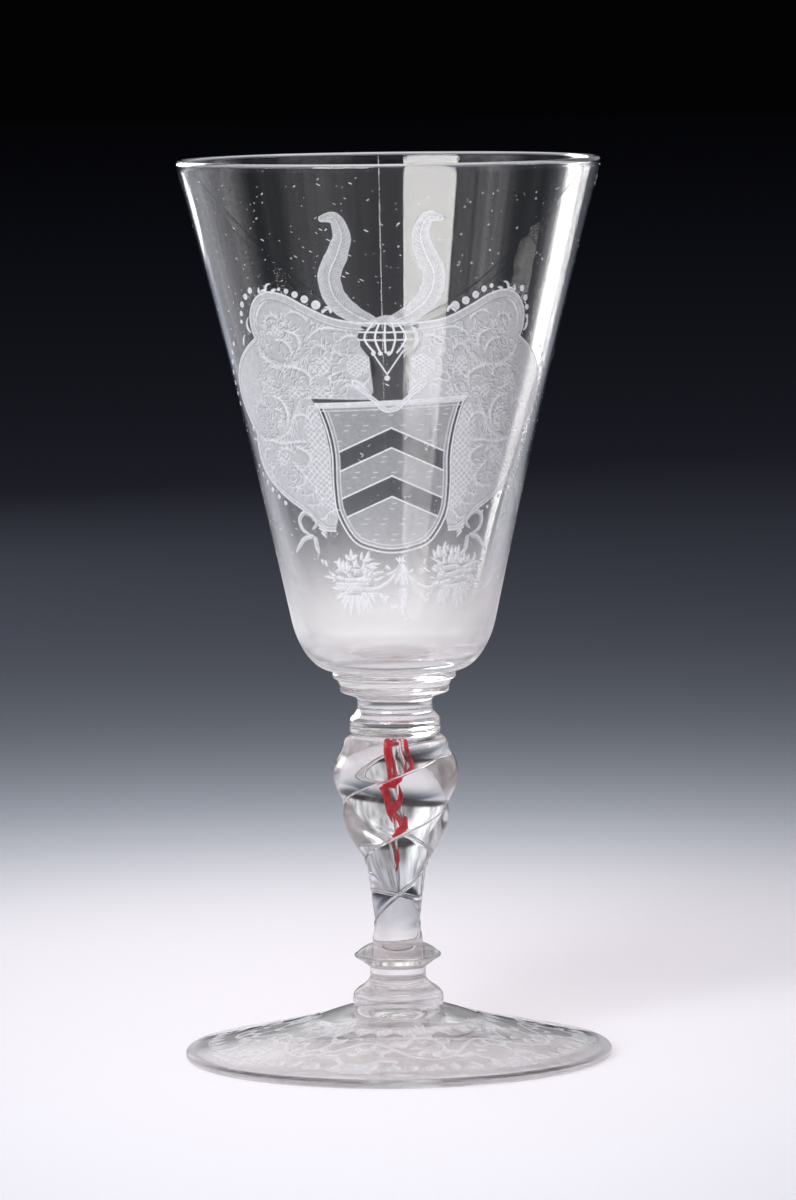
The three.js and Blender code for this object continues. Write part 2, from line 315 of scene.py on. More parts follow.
def floor_painted_light():
    """A matt sheet with a pool of light painted into its colour: pale near the goblet, falling away
    into the dark round it. Behind the goblet and past both sides of the picture the painted light
    reaches farther out, for the glass to show."""
    made, tree, surface = material("matt_floor_painted_light")
    place = node(tree, "SeparateXYZ", {0: node(tree, "TexCoord").outputs["Object"]})
    back = node(tree, "Math", {0: place.outputs["Y"], 1: POOL}, operation="SUBTRACT").outputs[0]
    front = node(tree, "Math", {0: back, 1: FRONT}, operation="MULTIPLY")
    depth = node(tree, "Math", {0: back, 1: front.outputs[0]}, operation="MAXIMUM")
    flat = node(tree, "CombineXYZ", {"X": place.outputs["X"], "Y": depth.outputs[0]})
    reach = node(tree, "VectorMath", {0: flat.outputs[0]}, operation="LENGTH")
    out = node(tree, "Math", {0: place.outputs["X"]}, operation="ABSOLUTE")
    edge = node(tree, "Math", {0: place.outputs["Y"], 1: -RUNNER, 2: out.outputs[0]},
                operation="MULTIPLY_ADD")
    ahead = node(tree, "Math", {0: place.outputs["Y"], 1: BESIDE_FROM}, operation="ADD")
    edge = node(tree, "Math", {0: edge.outputs[0], 1: ahead.outputs[0]}, operation="MINIMUM")
    beside = node(tree, "MapRange", {"Value": edge.outputs[0], "From Min": 1.6 * RUNNER,
                                     "From Max": 2.6 * RUNNER, "To Min": 1.0, "To Max": 0.35})
    reach = node(tree, "Math", {0: reach.outputs["Value"], 1: beside.outputs[0]},
                 operation="MULTIPLY")
    tone = [fallen(tree, reach.outputs[0], *channel) for channel in zip(LIT, DUSK, HALVED)]
    colour = node(tree, "CombineColor", dict(zip(("Red", "Green", "Blue"), tone)))
    matt = node(tree, "BsdfDiffuse", {"Color": colour.outputs[0], "Roughness": 0.9})
    tree.links.new(matt.outputs[0], surface)
    return made


RUNNER = 0.12  # half width of the painted dark strip behind the goblet, for each metre from the camera
BESIDE_FROM = 0.1  # brings the start of the painted light on the floor beside it to 90 mm behind the goblet
POOL = 0.16  # the middle of the painted pool of light lies this far behind the goblet
FRONT = 0.42  # in front of it the floor's light falls away this much more slowly
# The floor's painted light falls from LIT to DUSK with the distance from that place, in metres. Red
# falls away first, which leaves the half light bluish, and far off the dusk itself goes dark.
LIT = linear("e4dfe4")[:3]
DUSK = linear("292a33")[:3]
HALVED = (0.247, 0.262, 0.27)
STEEPNESS = 2.7
DARK = 5.0


def fallen(tree, reach, lit, dusk, halved):
    """One channel of the floor's colour: dusk d(r) + (lit - dusk d(r)) / (1 + (r / halved)^s),
    where d(r) = 1 / (1 + (r / DARK)^2)."""
    def fall(distance, power):
        share = node(tree, "Math", {0: reach, 1: distance}, operation="DIVIDE")
        share = node(tree, "Math", {0: share.outputs[0], 1: power}, operation="POWER")
        share = node(tree, "Math", {0: share.outputs[0], 1: 1.0}, operation="ADD")
        return node(tree, "Math", {0: 1.0, 1: share.outputs[0]}, operation="DIVIDE").outputs[0]
    far = node(tree, "Math", {0: fall(DARK, 2.0), 1: dusk}, operation="MULTIPLY").outputs[0]
    return node(tree, "MapRange", {"Value": fall(halved, STEEPNESS), "To Min": far,
                                   "To Max": lit}).outputs[0]


BOWL_GLASS_PAINTED_HAZE = painted_haze_bowl_glass()
STEM_GLASS_PAINTED = stem_glass_painted()
EDGED = edged_glass()
SEAM = fused_seam()
RUBY = ruby_glass()

# Radii of the fused seams, in millimetres
FOOT_KNOP = 10.0
KNOP_MERESE = 6.2
MERESE_BALUSTER = 5.6
BALUSTER_RING = 9.4
RING_COLLAR = 8.4
COLLARS = 12.2
COLLAR_BOWL = 13.5


FOOT = {"radius": 47.6, "half": 1.1, "shoulder": (18.0, 8.9), "height": 11.5}


def foot_top():
    """The upper side of the foot, from its edge to the knop."""
    radius, half, shoulder = FOOT["radius"], FOOT["half"], FOOT["shoulder"]
    return join(
        bend((radius - half, 2 * half), (30.0, 5.8), shoulder, 60),
        bend(shoulder, (14.2, 10.4), (FOOT_KNOP, FOOT["height"]), 30),
    )


def make_foot():
    """The foot: a shallow cone with a rounded edge, hollow below, with the pontil scar."""
    radius, half, shoulder, height = FOOT["radius"], FOOT["half"], FOOT["shoulder"], FOOT["height"]
    wall, rest = 2.8, 45.1
    hollow = height - wall
    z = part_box("foot")[0].z / MM
    outline = join(
        line((6.0, hollow), (7.0, hollow), 4),
        bend((7.0, hollow), (FOOT_KNOP, hollow), (shoulder[0], shoulder[1] - wall)),
        bend((shoulder[0], shoulder[1] - wall), (rest - wall, half), (rest, 0), 60),
        line((rest, 0), (radius - half, 0), 4),
        arc((radius - half, half), half, -90, 90),
        foot_top(),
    )
    rings = turned(outline + np.array([0, z]))
    points, bottom, wall_faces, top = closed_surface(
        rings, [0, 0, z + hollow - 0.5], [0, 0, z + height])
    slots = [0] * (len(bottom) + len(wall_faces)) + [1] * len(top)
    faces = bottom.tolist() + wall_faces.tolist() + top.tolist()
    piece = make_mesh("foot_glass", points, faces, [EDGED, SEAM], slots)
    dress(piece, "foot")


def make_base_knop():
    """The base knop: a low bulge and the neck above it."""
    radius, bulge, neck, height = 10.1, 1.7, 6.9, 8.5
    middle = (bulge + neck) / 2
    glass_piece("base_knop", join(
        bend((FOOT_KNOP, 0), (radius, bulge / 2), (radius, bulge)),
        curve((radius, bulge), (radius, middle), (KNOP_MERESE, middle), (KNOP_MERESE, neck)),
        line((KNOP_MERESE, neck), (KNOP_MERESE, height)),
    ))


def make_lower_merese():
    """The lower merese: a disc with a domed top, squeezed out to a thin rounded edge."""
    radius, middle, lip = 9.65, 2.65, 0.5
    edge = radius - lip
    glass_piece("lower_merese", join(
        bend((KNOP_MERESE, 0), (7.4, 0.9), (edge, middle - lip)),
        arc((edge, middle), lip, -90, 90),
        bend((edge, middle + lip), (7.8, 4.6), (MERESE_BALUSTER, 2 * middle)),
    ))


def make_ring_knop():
    """The ring knop: a plump ring and the neck that carries the collars."""
    radius, lower, bulge, neck, height = 10.15, 1.1, 2.8, 6.2, 7.7
    middle = (bulge + neck) / 2
    glass_piece("ring_knop", join(
        bend((BALUSTER_RING, 0), (radius, lower / 2), (radius, lower)),
        line((radius, lower), (radius, bulge)),
        curve((radius, bulge), (radius, middle), (RING_COLLAR, middle), (RING_COLLAR, neck)),
        line((RING_COLLAR, neck), (RING_COLLAR, height)),
    ))


def make_lower_collar():
    """The lower collar: it flares from the neck to a short upright edge."""
    radius, flare, height = 12.25, 2.4, 3.4
    glass_piece("lower_collar", join(
        curve((RING_COLLAR, 0), (RING_COLLAR, flare / 2), (radius, flare / 2), (radius, flare)),
        line((radius, flare), (COLLARS, height)),
    ))


def make_upper_collar():
    """The upper collar: a round-edged ring under the bowl."""
    radius, cone, half = 13.85, 1.3, 0.95
    edge = radius - half
    glass_piece("upper_collar", join(
        line((COLLARS, 0), (edge, cone)),
        arc((edge, cone + half), half, -90, 60),
        line((edge + half / 2, cone + half * (1 + math.sqrt(3) / 2)), (COLLAR_BOWL, cone + 2 * half)),
    ))


BOWL = {"base": (22.6, 11.0), "rim": 47.0, "lip": 112.5, "bow": 0.75}

# Thickness of the bowl's wall at heights above the seam. It thins from the lip to the middle and
# thickens again towards the base, and so bends the view of the pale table into the lower bowl.
WALL_HEIGHT = (0.0, 10.0, 30.0, 48.0, 66.0, 90.0, 112.5)
WALL = (4.7, 3.5, 2.8, 1.8, 1.3, 1.5, 2.0)


def bowl_outside():
    """The outside of the bowl, from its seam up to the lip."""
    base, rim, lip = BOWL["base"], BOWL["rim"], BOWL["lip"]
    draft = (rim - base[0]) / (lip - base[1])
    turn = (base[0] - draft * base[1] / 2, base[1] / 2)
    middle = ((base[0] + rim) / 2 - 2 * BOWL["bow"], (base[1] + lip) / 2)
    return join(
        curve((COLLAR_BOWL, 0), ((COLLAR_BOWL + base[0]) / 2, 0), turn, base, 50),
        bend(base, middle, (rim, lip), 90),
    )


def bowl_inside():
    """The inside of the bowl, from the lip down to the middle of its floor: the outside moved
    inwards along its normal by the thickness of the wall."""
    outside = even(bowl_outside(), 150)
    height = np.linspace(-12, BOWL["lip"] + 12, 500)
    wall = np.interp(height, WALL_HEIGHT, WALL)
    window = np.hanning(101)
    wall = np.convolve(np.pad(wall, 50, mode="edge"), window / window.sum(), "valid")
    wall = np.interp(outside[:, 1], height, wall)
    along = np.gradient(outside, axis=0)
    along /= np.linalg.norm(along, axis=1, keepdims=True)
    inward = np.stack([-along[:, 1], along[:, 0]], 1)
    inside = outside + inward * wall[:, None]
    inside[-1] = (BOWL["rim"] - 2.0, BOWL["lip"])
    floor = line((0.4, inside[0, 1]), inside[0], 12)
    return join(floor, inside)[::-1]


def make_bowl():
    """The bowl: a funnel of even wall on a thick rounded base, with a fire-polished lip."""
    half = WALL[-1] / 2
    lip = arc((BOWL["rim"] - half, BOWL["lip"]), half, 0, 180, 32)
    outline = join(bowl_outside(), lip, bowl_inside())
    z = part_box("bowl")[0].z / MM
    rings = turned(outline + np.array([0, z]))
    points, bottom, wall, top = closed_surface(rings, [0, 0, z], [0, 0, rings[-1, 0, 2]])
    slots = [1] * len(bottom) + [0] * (len(wall) + len(top))
    faces = bottom.tolist() + wall.tolist() + top.tolist()
    piece = make_mesh("bowl_glass", points, faces, [BOWL_GLASS_PAINTED_HAZE, SEAM], slots)
    dress(piece, "bowl")


BALUSTER = {"stem": 5.55, "radius": 13.95, "root": 5.0, "stem_top": 8.0, "widest": 38.4,
            "height": 46.9, "lead": 27.2, "crease": 24.7, "depth": 0.14, "cord": 0.4,
            "cord_width": 0.5}


def baluster_side():
    """The side of the baluster without its lobes."""
    b = BALUSTER
    return join(
        bend((MERESE_BALUSTER, 0), (b["stem"], b["root"] / 2), (b["stem"], b["root"])),
        line((b["stem"], b["root"]), (b["stem"], b["stem_top"])),
        curve((b["stem"], b["stem_top"]), (b["stem"], b["stem_top"] + 12),
              (b["radius"], b["widest"] - 14), (b["radius"], b["widest"]), 120),
        curve((b["radius"], b["widest"]), (b["radius"], b["widest"] + 4.7),
              ((b["radius"] + BALUSTER_RING) / 2, b["height"]), (BALUSTER_RING, b["height"])),
    )


def smoothstep(x):
    """0 below 0, 1 above 1 and 3x^2 - 2x^3 between."""
    x = np.clip(x, 0, 1)
    return x * x * (3 - 2 * x)


def make_baluster():
    """The wrythen baluster. On each ring the radius is R (1 - d + d s), where s is the softened
    |sin| of the angle from a crease, so that two lobes meet at a narrow crease that climbs round
    the piece. A thin cord c exp(-(R sin a / w)^2) stands in the crease, and the points of a ring
    are closest there. The air tear is a second, inner surface that faces its hollow."""
    b = BALUSTER
    side = even(baluster_side(), 260)
    r, h = side[:, :1], side[:, 1:]
    depth = b["depth"] * smoothstep(h / b["root"]) * smoothstep((b["height"] - h) / 5)
    crease = 2 * np.pi * (h - b["crease"]) / b["lead"] - np.pi / 2
    angle = np.linspace(0, 2 * np.pi, 320, endpoint=False)[None, :]
    angle = angle - 0.4 * np.sin(2 * angle)
    soft = 0.03
    crown = (np.sqrt(np.sin(angle) ** 2 + soft ** 2) - soft) / (math.sqrt(1 + soft ** 2) - soft)
    cord = b["cord"] * np.exp(-(r * np.sin(angle) / b["cord_width"]) ** 2)
    reach = r * (1 - depth + depth * crown) + cord * depth / b["depth"]
    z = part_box("baluster")[0].z / MM
    rings = np.stack([reach * np.cos(crease + angle), reach * np.sin(crease + angle),
                      z + h + 0 * angle], -1)
    points, bottom, wall, top = closed_surface(rings, [0, 0, z], [0, 0, z + b["height"]])
    faces = bottom.tolist() + wall.tolist() + top.tolist()
    slots = [1] * len(bottom) + [0] * len(wall) + [1] * len(top)
    tear_points, tear_faces = air_tear(z)
    faces += [[i + len(points) for i in face] for face in tear_faces]
    slots += [0] * len(tear_faces)
    points = np.concatenate([points, tear_points])
    piece = make_mesh("baluster_glass", points, faces, [STEM_GLASS_PAINTED, SEAM], slots)
    dress(piece, "baluster")


TEAR = {"tip": 10.7, "top": 46.0, "radius": 1.15}


def air_tear(z):
    """The hollow of the tear: radius R sin(pi u / 2) (1 - u^12) from its tip, u = 0, to its round
    top. Its faces point into the hollow, away from the glass."""
    u = np.linspace(0, 1, 92)[1:-1]
    radius = TEAR["radius"] * np.sin(np.pi * u / 2) * np.sqrt(1 - u ** 12)
    height = z + TEAR["tip"] + (TEAR["top"] - TEAR["tip"]) * u
    rings = turned(np.stack([radius, height], 1), 96)
    points, bottom, wall, top = closed_surface(
        rings, [0, 0, z + TEAR["tip"]], [0, 0, z + TEAR["top"]])
    faces = bottom.tolist() + wall.tolist() + top.tolist()
    return points, [face[::-1] for face in faces]


def strand(start, end, coil, width, phase):
    """One strand of the thread: a flat ribbon on a helix round the tear, with an oval section.
    Its coil and width are given at its foot and at its top, and it thins out at both ends."""
    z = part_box("baluster")[0].z / MM
    h = np.linspace(start, end, 520)[:, None]
    share = (h - start) / (end - start)
    rise = smoothstep(1.3 * share)
    thin = 0.25 + 0.75 * smoothstep(share / 0.1) * smoothstep((1 - share) / 0.04)
    reach = coil[0] + (coil[1] - coil[0]) * rise
    lump = 1 + 0.26 * np.sin(2.1 * h + phase) + 0.2 * np.sin(3.7 * h + 2 * phase)
    wide = (width[0] + (width[1] - width[0]) * rise) * thin * lump
    thick = (0.22 + 0.2 * share) * thin * (1.2 - 0.4 * lump)
    turn = 2 * np.pi * h / 7.9 + phase + 0.7 * np.sin(0.9 * h + 2 * phase)
    a = np.linspace(0, 2 * np.pi, 20, endpoint=False)[None, :]
    out = np.concatenate([np.cos(turn), np.sin(turn), 0 * turn], 1)
    centre = reach * out + np.concatenate([0 * h, 0 * h, z + h], 1)
    along = np.gradient(centre, axis=0)
    along /= np.linalg.norm(along, axis=1, keepdims=True)
    over = np.cross(along, out)
    rings = (centre[:, None, :] + (thick * np.cos(a))[..., None] * out[:, None, :]
             + (wide * np.sin(a))[..., None] * over[:, None, :])
    points, bottom, wall, top = closed_surface(rings, centre[0], centre[-1])
    return points, bottom.tolist() + wall.tolist() + top.tolist()


def make_ruby_thread():
    """The ruby thread: a strand that coils down the tear, and a second one that is twisted with it
    in the wide part of the tear and ends half way."""
    points, faces = strand(17.4, 46.2, (0.35, 1.5), (0.36, 1.3), 2.2)
    more, more_faces = strand(29.0, 45.4, (1.0, 1.7), (0.25, 0.5), 4.6)
    faces += [[i + len(points) for i in face] for face in more_faces]
    piece = make_mesh("ruby_thread_glass", np.concatenate([points, more]), faces, [RUBY])
    dress(piece, "ruby_thread")


make_foot()
make_base_knop()
make_lower_merese()
make_baluster()
make_ruby_thread()
make_ring_knop()
make_lower_collar()
make_upper_collar()
make_bowl()


# Engraving. It is drawn flat in millimetres: u runs round the bowl from the front, to the right, and
# v runs up from the bowl's lower seam. Each piece of it is a thin skin of ground glass on the bowl.

def ground_glass():
    """Wheel-ground glass: a fine matt tooth that scatters light, white where it is cut closest and
    clear where the wheel hasn't touched. The attribute "cut" says how close the cutting is, and
    below 0 how dark a polished groove is tinted: painted shade for the dark that it bends into view."""
    made, tree, surface = material("wheel_ground_glass")
    cut = node(tree, "Attribute", attribute_name="cut")
    place = node(tree, "TexCoord").outputs["Object"]
    grain = node(tree, "TexNoise", {"Vector": place, "Scale": 1 / (0.9 * MM), "Detail": 4.0})
    tooth = node(tree, "MapRange", {"Value": grain.outputs["Fac"], "From Min": 0.3, "From Max": 0.7,
                                    "To Min": 0.86, "To Max": 1.1})
    frost = node(tree, "Math", {0: cut.outputs["Fac"], 1: tooth.outputs[0]}, operation="MULTIPLY",
                 use_clamp=True)
    groove = node(tree, "Math", {0: cut.outputs["Fac"], 1: 1.0}, operation="ADD", use_clamp=True)
    lit = node(tree, "BsdfDiffuse", {"Color": linear("e9ebf0"), "Roughness": 0.6})
    glow = node(tree, "BsdfTranslucent", {"Color": linear("f0f2f6")})
    matt = node(tree, "MixShader", {0: 0.35, 1: lit.outputs[0], 2: glow.outputs[0]})
    clear = node(tree, "BsdfTransparent", {"Color": groove.outputs[0]})
    mixed = node(tree, "MixShader", {0: frost.outputs[0], 1: clear.outputs[0], 2: matt.outputs[0]})
    tree.links.new(mixed.outputs[0], surface)
    return made


GROUND = ground_glass()
FINE = 0.14  # spacing of an engraved skin's points

# How close the cutting is
FIELD = 0.36  # an even matt ground
CLOTH = 0.6  # the ground of the mantling, which is cut closer
BODY = 0.5  # raised forms
LINE = 0.8  # fine lines
BRIGHT = 1.0  # the sharpest edges
GROOVE_PAINTED_SHADE = -0.26  # a polished groove, tinted dark: painted shade


def spline(points, closed=False, n=8):
    """A smooth path through points: on each stretch from b to c, with neighbours a and d, the
    Catmull-Rom curve (2b + (c-a)t + (2a-5b+4c-d)t^2 + (3b-a-3c+d)t^3) / 2."""
    p = np.array(points, float)
    p = np.concatenate([p[-1:], p, p[:2]]) if closed else np.concatenate([p[:1], p, p[-1:]])
    t = np.linspace(0, 1, n, endpoint=False)[:, None]
    a, b, c, d = (p[i:len(p) - 3 + i, None] for i in range(4))
    path = (2 * b + (c - a) * t + (2 * a - 5 * b + 4 * c - d) * t ** 2
            + (3 * b - a - 3 * c + d) * t ** 3) / 2
    return np.concatenate([path.reshape(-1, 2), p[-2:-1]])


def toward(start, angle, length, curl=0.0, n=6):
    """A path of a length that sets out at an angle and turns by curl, both in degrees."""
    a = np.radians(angle + curl * np.linspace(0, 1, n))
    steps = np.stack([np.cos(a), np.sin(a)], 1) * length / n
    return np.concatenate([[start], np.array(start) + np.cumsum(steps, 0)])


class Sheet:
    """A flat sheet of points with the cutting and the relief that are drawn on it."""

    def __init__(self, low, high, step=FINE):
        self.step = step
        u = np.arange(low[0], high[0] + step, step)
        v = np.arange(low[1], high[1] + step, step)
        self.u, self.v = np.meshgrid(u, v, indexing="ij")
        self.cut = np.zeros(self.u.shape)
        self.relief = np.zeros(self.u.shape)

    def window(self, path, reach):
        """The part of the sheet that lies within reach of a path."""
        low, high = path.min(0) - reach, path.max(0) + reach
        place = []
        for axis, start in enumerate((self.u[0, 0], self.v[0, 0])):
            first = max(int((low[axis] - start) / self.step), 0)
            place.append(slice(first, max(int((high[axis] - start) / self.step) + 2, first)))
        return tuple(place)

    def near(self, path, reach):
        """For the points near a path: the window, the distance, how far along the path from 0 to
        1, and on which side, left of its direction being positive."""
        place = self.window(path, reach)
        u, v = self.u[place], self.v[place]
        best = np.full(u.shape, 1e9)
        along = np.zeros(u.shape)
        side = np.ones(u.shape)
        length = np.concatenate([[0], np.cumsum(np.linalg.norm(np.diff(path, axis=0), axis=1))])
        for i in range(len(path) - 1):
            (x, y), (dx, dy) = path[i], path[i + 1] - path[i]
            size = dx * dx + dy * dy
            if size < 1e-12 or u.size == 0:
                continue
            t = np.clip(((u - x) * dx + (v - y) * dy) / size, 0, 1)
            ex, ey = u - x - t * dx, v - y - t * dy
            far = ex * ex + ey * ey
            closer = far < best
            best = np.where(closer, far, best)
            along = np.where(closer, length[i] + t * (length[i + 1] - length[i]), along)
            side = np.where(closer, np.sign(dx * ey - dy * ex), side)
        return place, np.sqrt(best), along / max(length[-1], 1e-9), side

    def lay(self, place, cover, tone, rise=0.0):
        """Lays a tone over part of the sheet, as much as cover says, and raises it."""
        self.cut[place] += cover * (tone - self.cut[place])
        self.relief[place] += cover * rise

    def edge(self, distance):
        """1 well inside an edge, 0 well outside, for a distance that is positive inside."""
        return np.clip(distance / self.step + 0.5, 0, 1)

    def inside(self, outline, place=Ellipsis):
        """Which points lie inside a closed outline: those from which a line to the right crosses
        it an odd number of times."""
        u, v = self.u[place], self.v[place]
        odd = np.zeros(u.shape, bool)
        for (x0, y0), (x1, y1) in zip(outline, np.roll(outline, -1, axis=0)):
            if y0 != y1:
                odd ^= ((y0 > v) != (y1 > v)) & (u < x0 + (v - y0) * (x1 - x0) / (y1 - y0))
        return odd

    def fill(self, outline, tone, rise=0.0):
        """Lays a tone inside a closed outline."""
        outline = np.array(outline, float)
        shut = np.concatenate([outline, outline[:1]])
        place, far, _, _ = self.near(shut, self.step * 2)
        sign = np.where(self.inside(outline, place), 1, -1)
        self.lay(place, self.edge(far * sign), tone, rise)

    def stroke(self, path, half, tone, rise=0.0, taper=(0.0, 0.0)):
        """Draws a line of a half width that shrinks over the given share of its two ends."""
        path = np.array(path, float)
        place, far, along, _ = self.near(path, half + self.step)
        width = half * np.ones(far.shape)
        for share, end in ((taper[0], along), (taper[1], 1 - along)):
            if share:
                width = width * np.sqrt(np.clip(end / share, 0.02, 1))
        self.lay(place, self.edge(width - far), tone, rise)

    def flourish(self, points, half=0.9, bright=LINE, way=1):
        """Grinds one limb of a scroll: a soft raised body with a bright line along its crest and
        a shade along one side of it."""
        path = spline(points)
        place, far, along, side = self.near(path, 2.4 * half)
        fade = smoothstep(along / 0.12) * smoothstep((1 - along) / 0.2)
        lee = np.where(side * way > 0, far, 9.0)
        body = smoothstep(1 - far / half) * fade
        shade = np.exp(-((lee - 0.75 * half) / (0.35 * half)) ** 2) * fade
        held = self.cut[place] > 0.2
        self.cut[place] += held * (0.1 * body - 0.1 * shade)
        self.relief[place] += held * 0.05 * body
        self.veins(path, half, way)
        self.stroke(path, 0.15, bright + 0.12, 0.03, (0.2, 0.35))

    def veins(self, path, half, way):
        """Short curved cuts that spring from a limb, like the ribs of a leaf, each with a painted shade
        beside it.
        """
        steps = np.diff(path, axis=0)
        length = np.concatenate([[0], np.cumsum(np.linalg.norm(steps, axis=1))])
        for k, at in enumerate(np.arange(0.5, length[-1] - 0.6, 1.3)):
            i = min(int(np.searchsorted(length, at)), len(steps)) - 1
            lean = math.degrees(math.atan2(steps[i, 1], steps[i, 0])) - way * (14 + 7 * (k % 3))
            size = (3.6 + math.cos(5 * k)) * half * math.sin(math.pi * min(at / length[-1] + 0.15, 1))
            cut = toward(path[i], lean, size, -way * (35 + 15 * (k % 2)))
            # A painted shade beside each cut.
            self.stroke(cut + 0.16, 0.12, CLOTH - 0.24, 0, (0.1, 0.5))
            self.stroke(cut, 0.11, 0.92, 0.02, (0.1, 0.6))

    def leaf(self, path, half, tone=BODY, edge_tone=BRIGHT, rise=0.05):
        """Draws a leaf: widest at a third of its length, pointed, with one bright edge."""
        path = np.array(path, float)
        place, far, along, side = self.near(path, half + self.step)
        width = half * np.sin(np.pi * np.clip(along, 0.001, 1) ** 0.6) ** 0.8
        shade = tone + (edge_tone - tone) * smoothstep(0.5 + 0.8 * side * far / half)
        self.lay(place, self.edge(width - far) * (width > 0.02), shade, rise)

    def bead(self, centre, radius, tone=0.86, rise=0.08):
        """Grinds a round bead."""
        centre = np.array([centre, centre], float)
        place = self.window(centre, radius + self.step)
        far = np.hypot(self.u[place] - centre[0, 0], self.v[place] - centre[0, 1])
        self.lay(place, self.edge(radius - far), tone - 0.12 * smoothstep(1 - far / radius), rise)

    def diaper(self, outline, angles, spacing, tone=0.9):
        """Rules an outline with crossed fine lines at two angles, in degrees."""
        outline = np.array(outline, float)
        place = self.window(outline, 0)
        u, v = self.u[place], self.v[place]
        within = self.inside(outline, place) * (self.cut[place] > 0.2)
        for angle in angles:
            a = math.radians(angle)
            across = u * math.sin(a) - v * math.cos(a) + 0.14 * np.sin(0.9 * (u + v))
            off = np.abs((across / spacing) % 1 - 0.5) * spacing
            self.lay(place, self.edge(0.11 - off) * within, tone, 0.02)

    def wisps(self, outline, count, seed):
        """Scatters short hooked cuts inside an outline, each with a shade beside it."""
        outline = np.array(outline, float)
        chance = np.random.default_rng(seed)
        low, high = outline.min(0), outline.max(0)
        spots = low + chance.random((count, 2)) * (high - low)
        angles = chance.random(count) * 360
        lengths = 1.2 + 2.2 * chance.random(count)
        for spot, angle, length in zip(spots, angles, lengths):
            if not encloses(outline, spot):
                continue
            path = toward(spot, angle, length, 130)
            self.stroke(path + 0.22, 0.15, CLOTH - 0.22, 0, (0.3, 0.5))
            self.stroke(path, 0.11, CLOTH + 0.28, 0.02, (0.3, 0.5))


def encloses(outline, spot):
    """True if a closed outline encloses one place."""
    x, y = outline[:, 0], outline[:, 1]
    x2, y2 = np.roll(x, -1), np.roll(y, -1)
    with np.errstate(divide="ignore", invalid="ignore"):
        crossed = ((y > spot[1]) != (y2 > spot[1])) & (
            spot[0] < x + (spot[1] - y) * (x2 - x) / (y2 - y))
    return bool(crossed.sum() % 2)


BOWL_SIDE = bowl_outside()


def on_bowl(u, v, lift):
    """Where a point of the drawing lies on the bowl: at height v and at the angle u / r(v) from the
    front, raised by lift along the surface's normal."""
    r = np.interp(v, BOWL_SIDE[:, 1], BOWL_SIDE[:, 0])
    return lifted(u / r, r, v, lift)


def seen_from_front(x, v, lift):
    """Where a point lies that is drawn as it looks from the front: at the angle asin(x / r(v))."""
    r = np.interp(v, BOWL_SIDE[:, 1], BOWL_SIDE[:, 0])
    return lifted(np.arcsin(x / r), r, v, lift)


def lifted(angle, r, v, lift):
    """A point of the bowl's outside, raised by lift along its normal."""
    run = np.gradient(BOWL_SIDE[:, 0]) / np.gradient(BOWL_SIDE[:, 1])
    slope = np.interp(v, BOWL_SIDE[:, 1], run)
    level = 1 / np.sqrt(1 + slope ** 2)
    reach = r + lift * level
    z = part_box("bowl")[0].z / MM + v - lift * slope * level
    return np.stack([reach * np.sin(angle), -reach * np.cos(angle), z], -1)


def lay_skin(name, sheet, place, lift=0.02, least=0.03):
    """Makes a sheet's drawing a skin on the glass: the cells that hold any cutting, with its depth
    at each point as the attribute "cut"."""
    cut = np.clip(sheet.cut, -1, 1)
    deep = np.abs(cut)
    held = np.maximum.reduce([deep[:-1, :-1], deep[1:, :-1], deep[:-1, 1:], deep[1:, 1:]]) > least
    rows, columns = cut.shape
    index = np.arange(rows * columns).reshape(rows, columns)
    quads = np.stack([index[:-1, :-1], index[1:, :-1], index[1:, 1:], index[:-1, 1:]], -1)[held]
    used, quads = np.unique(quads, return_inverse=True)
    raised = lift + np.clip(sheet.relief, -0.01, 0.2)
    points = place(sheet.u, sheet.v, raised).reshape(-1, 3)[used]
    piece = make_mesh(name, points, quads.reshape(-1, 4).tolist(), [GROUND])
    made = piece.data.attributes.new("cut", "FLOAT", "POINT")
    made.data.foreach_set("value", cut.ravel()[used].astype(np.float32))
    dress(piece)
    return piece


# The right half of the shield's outline, from its upper corner down to its foot
SHIELD_TOP = 61.9
SHIELD_SIDE = [(17.3, 61.9), (16.2, 60.6), (14.4, 55.6), (13.3, 50.0), (13.1, 43.0), (12.2, 36.8),
               (8.6, 30.9), (4.2, 28.9), (0.0, 28.3)]
CHEVRONS = ((56.0, 4.4), (45.4, 4.6))  # the apex and the thickness of each clear chevron
CHEVRON_DROP = 0.46  # fall of a chevron's arm for each millimetre outwards


def shield_outline(by=0.0):
    """The outline of the shield, moved in by a distance along its own normal. Its top slopes."""
    path = spline(SHIELD_SIDE + [(-u, v) for u, v in SHIELD_SIDE[-2::-1]])
    along = np.gradient(path, axis=0)
    along /= np.linalg.norm(along, axis=1, keepdims=True)
    path = path + by * np.stack([along[:, 1], -along[:, 0]], 1)
    path[:, 1] = np.minimum(path[:, 1], SHIELD_TOP - by)
    path[:, 1] += 0.04 * path[:, 0] * smoothstep((path[:, 1] - 50) / 12)
    return path


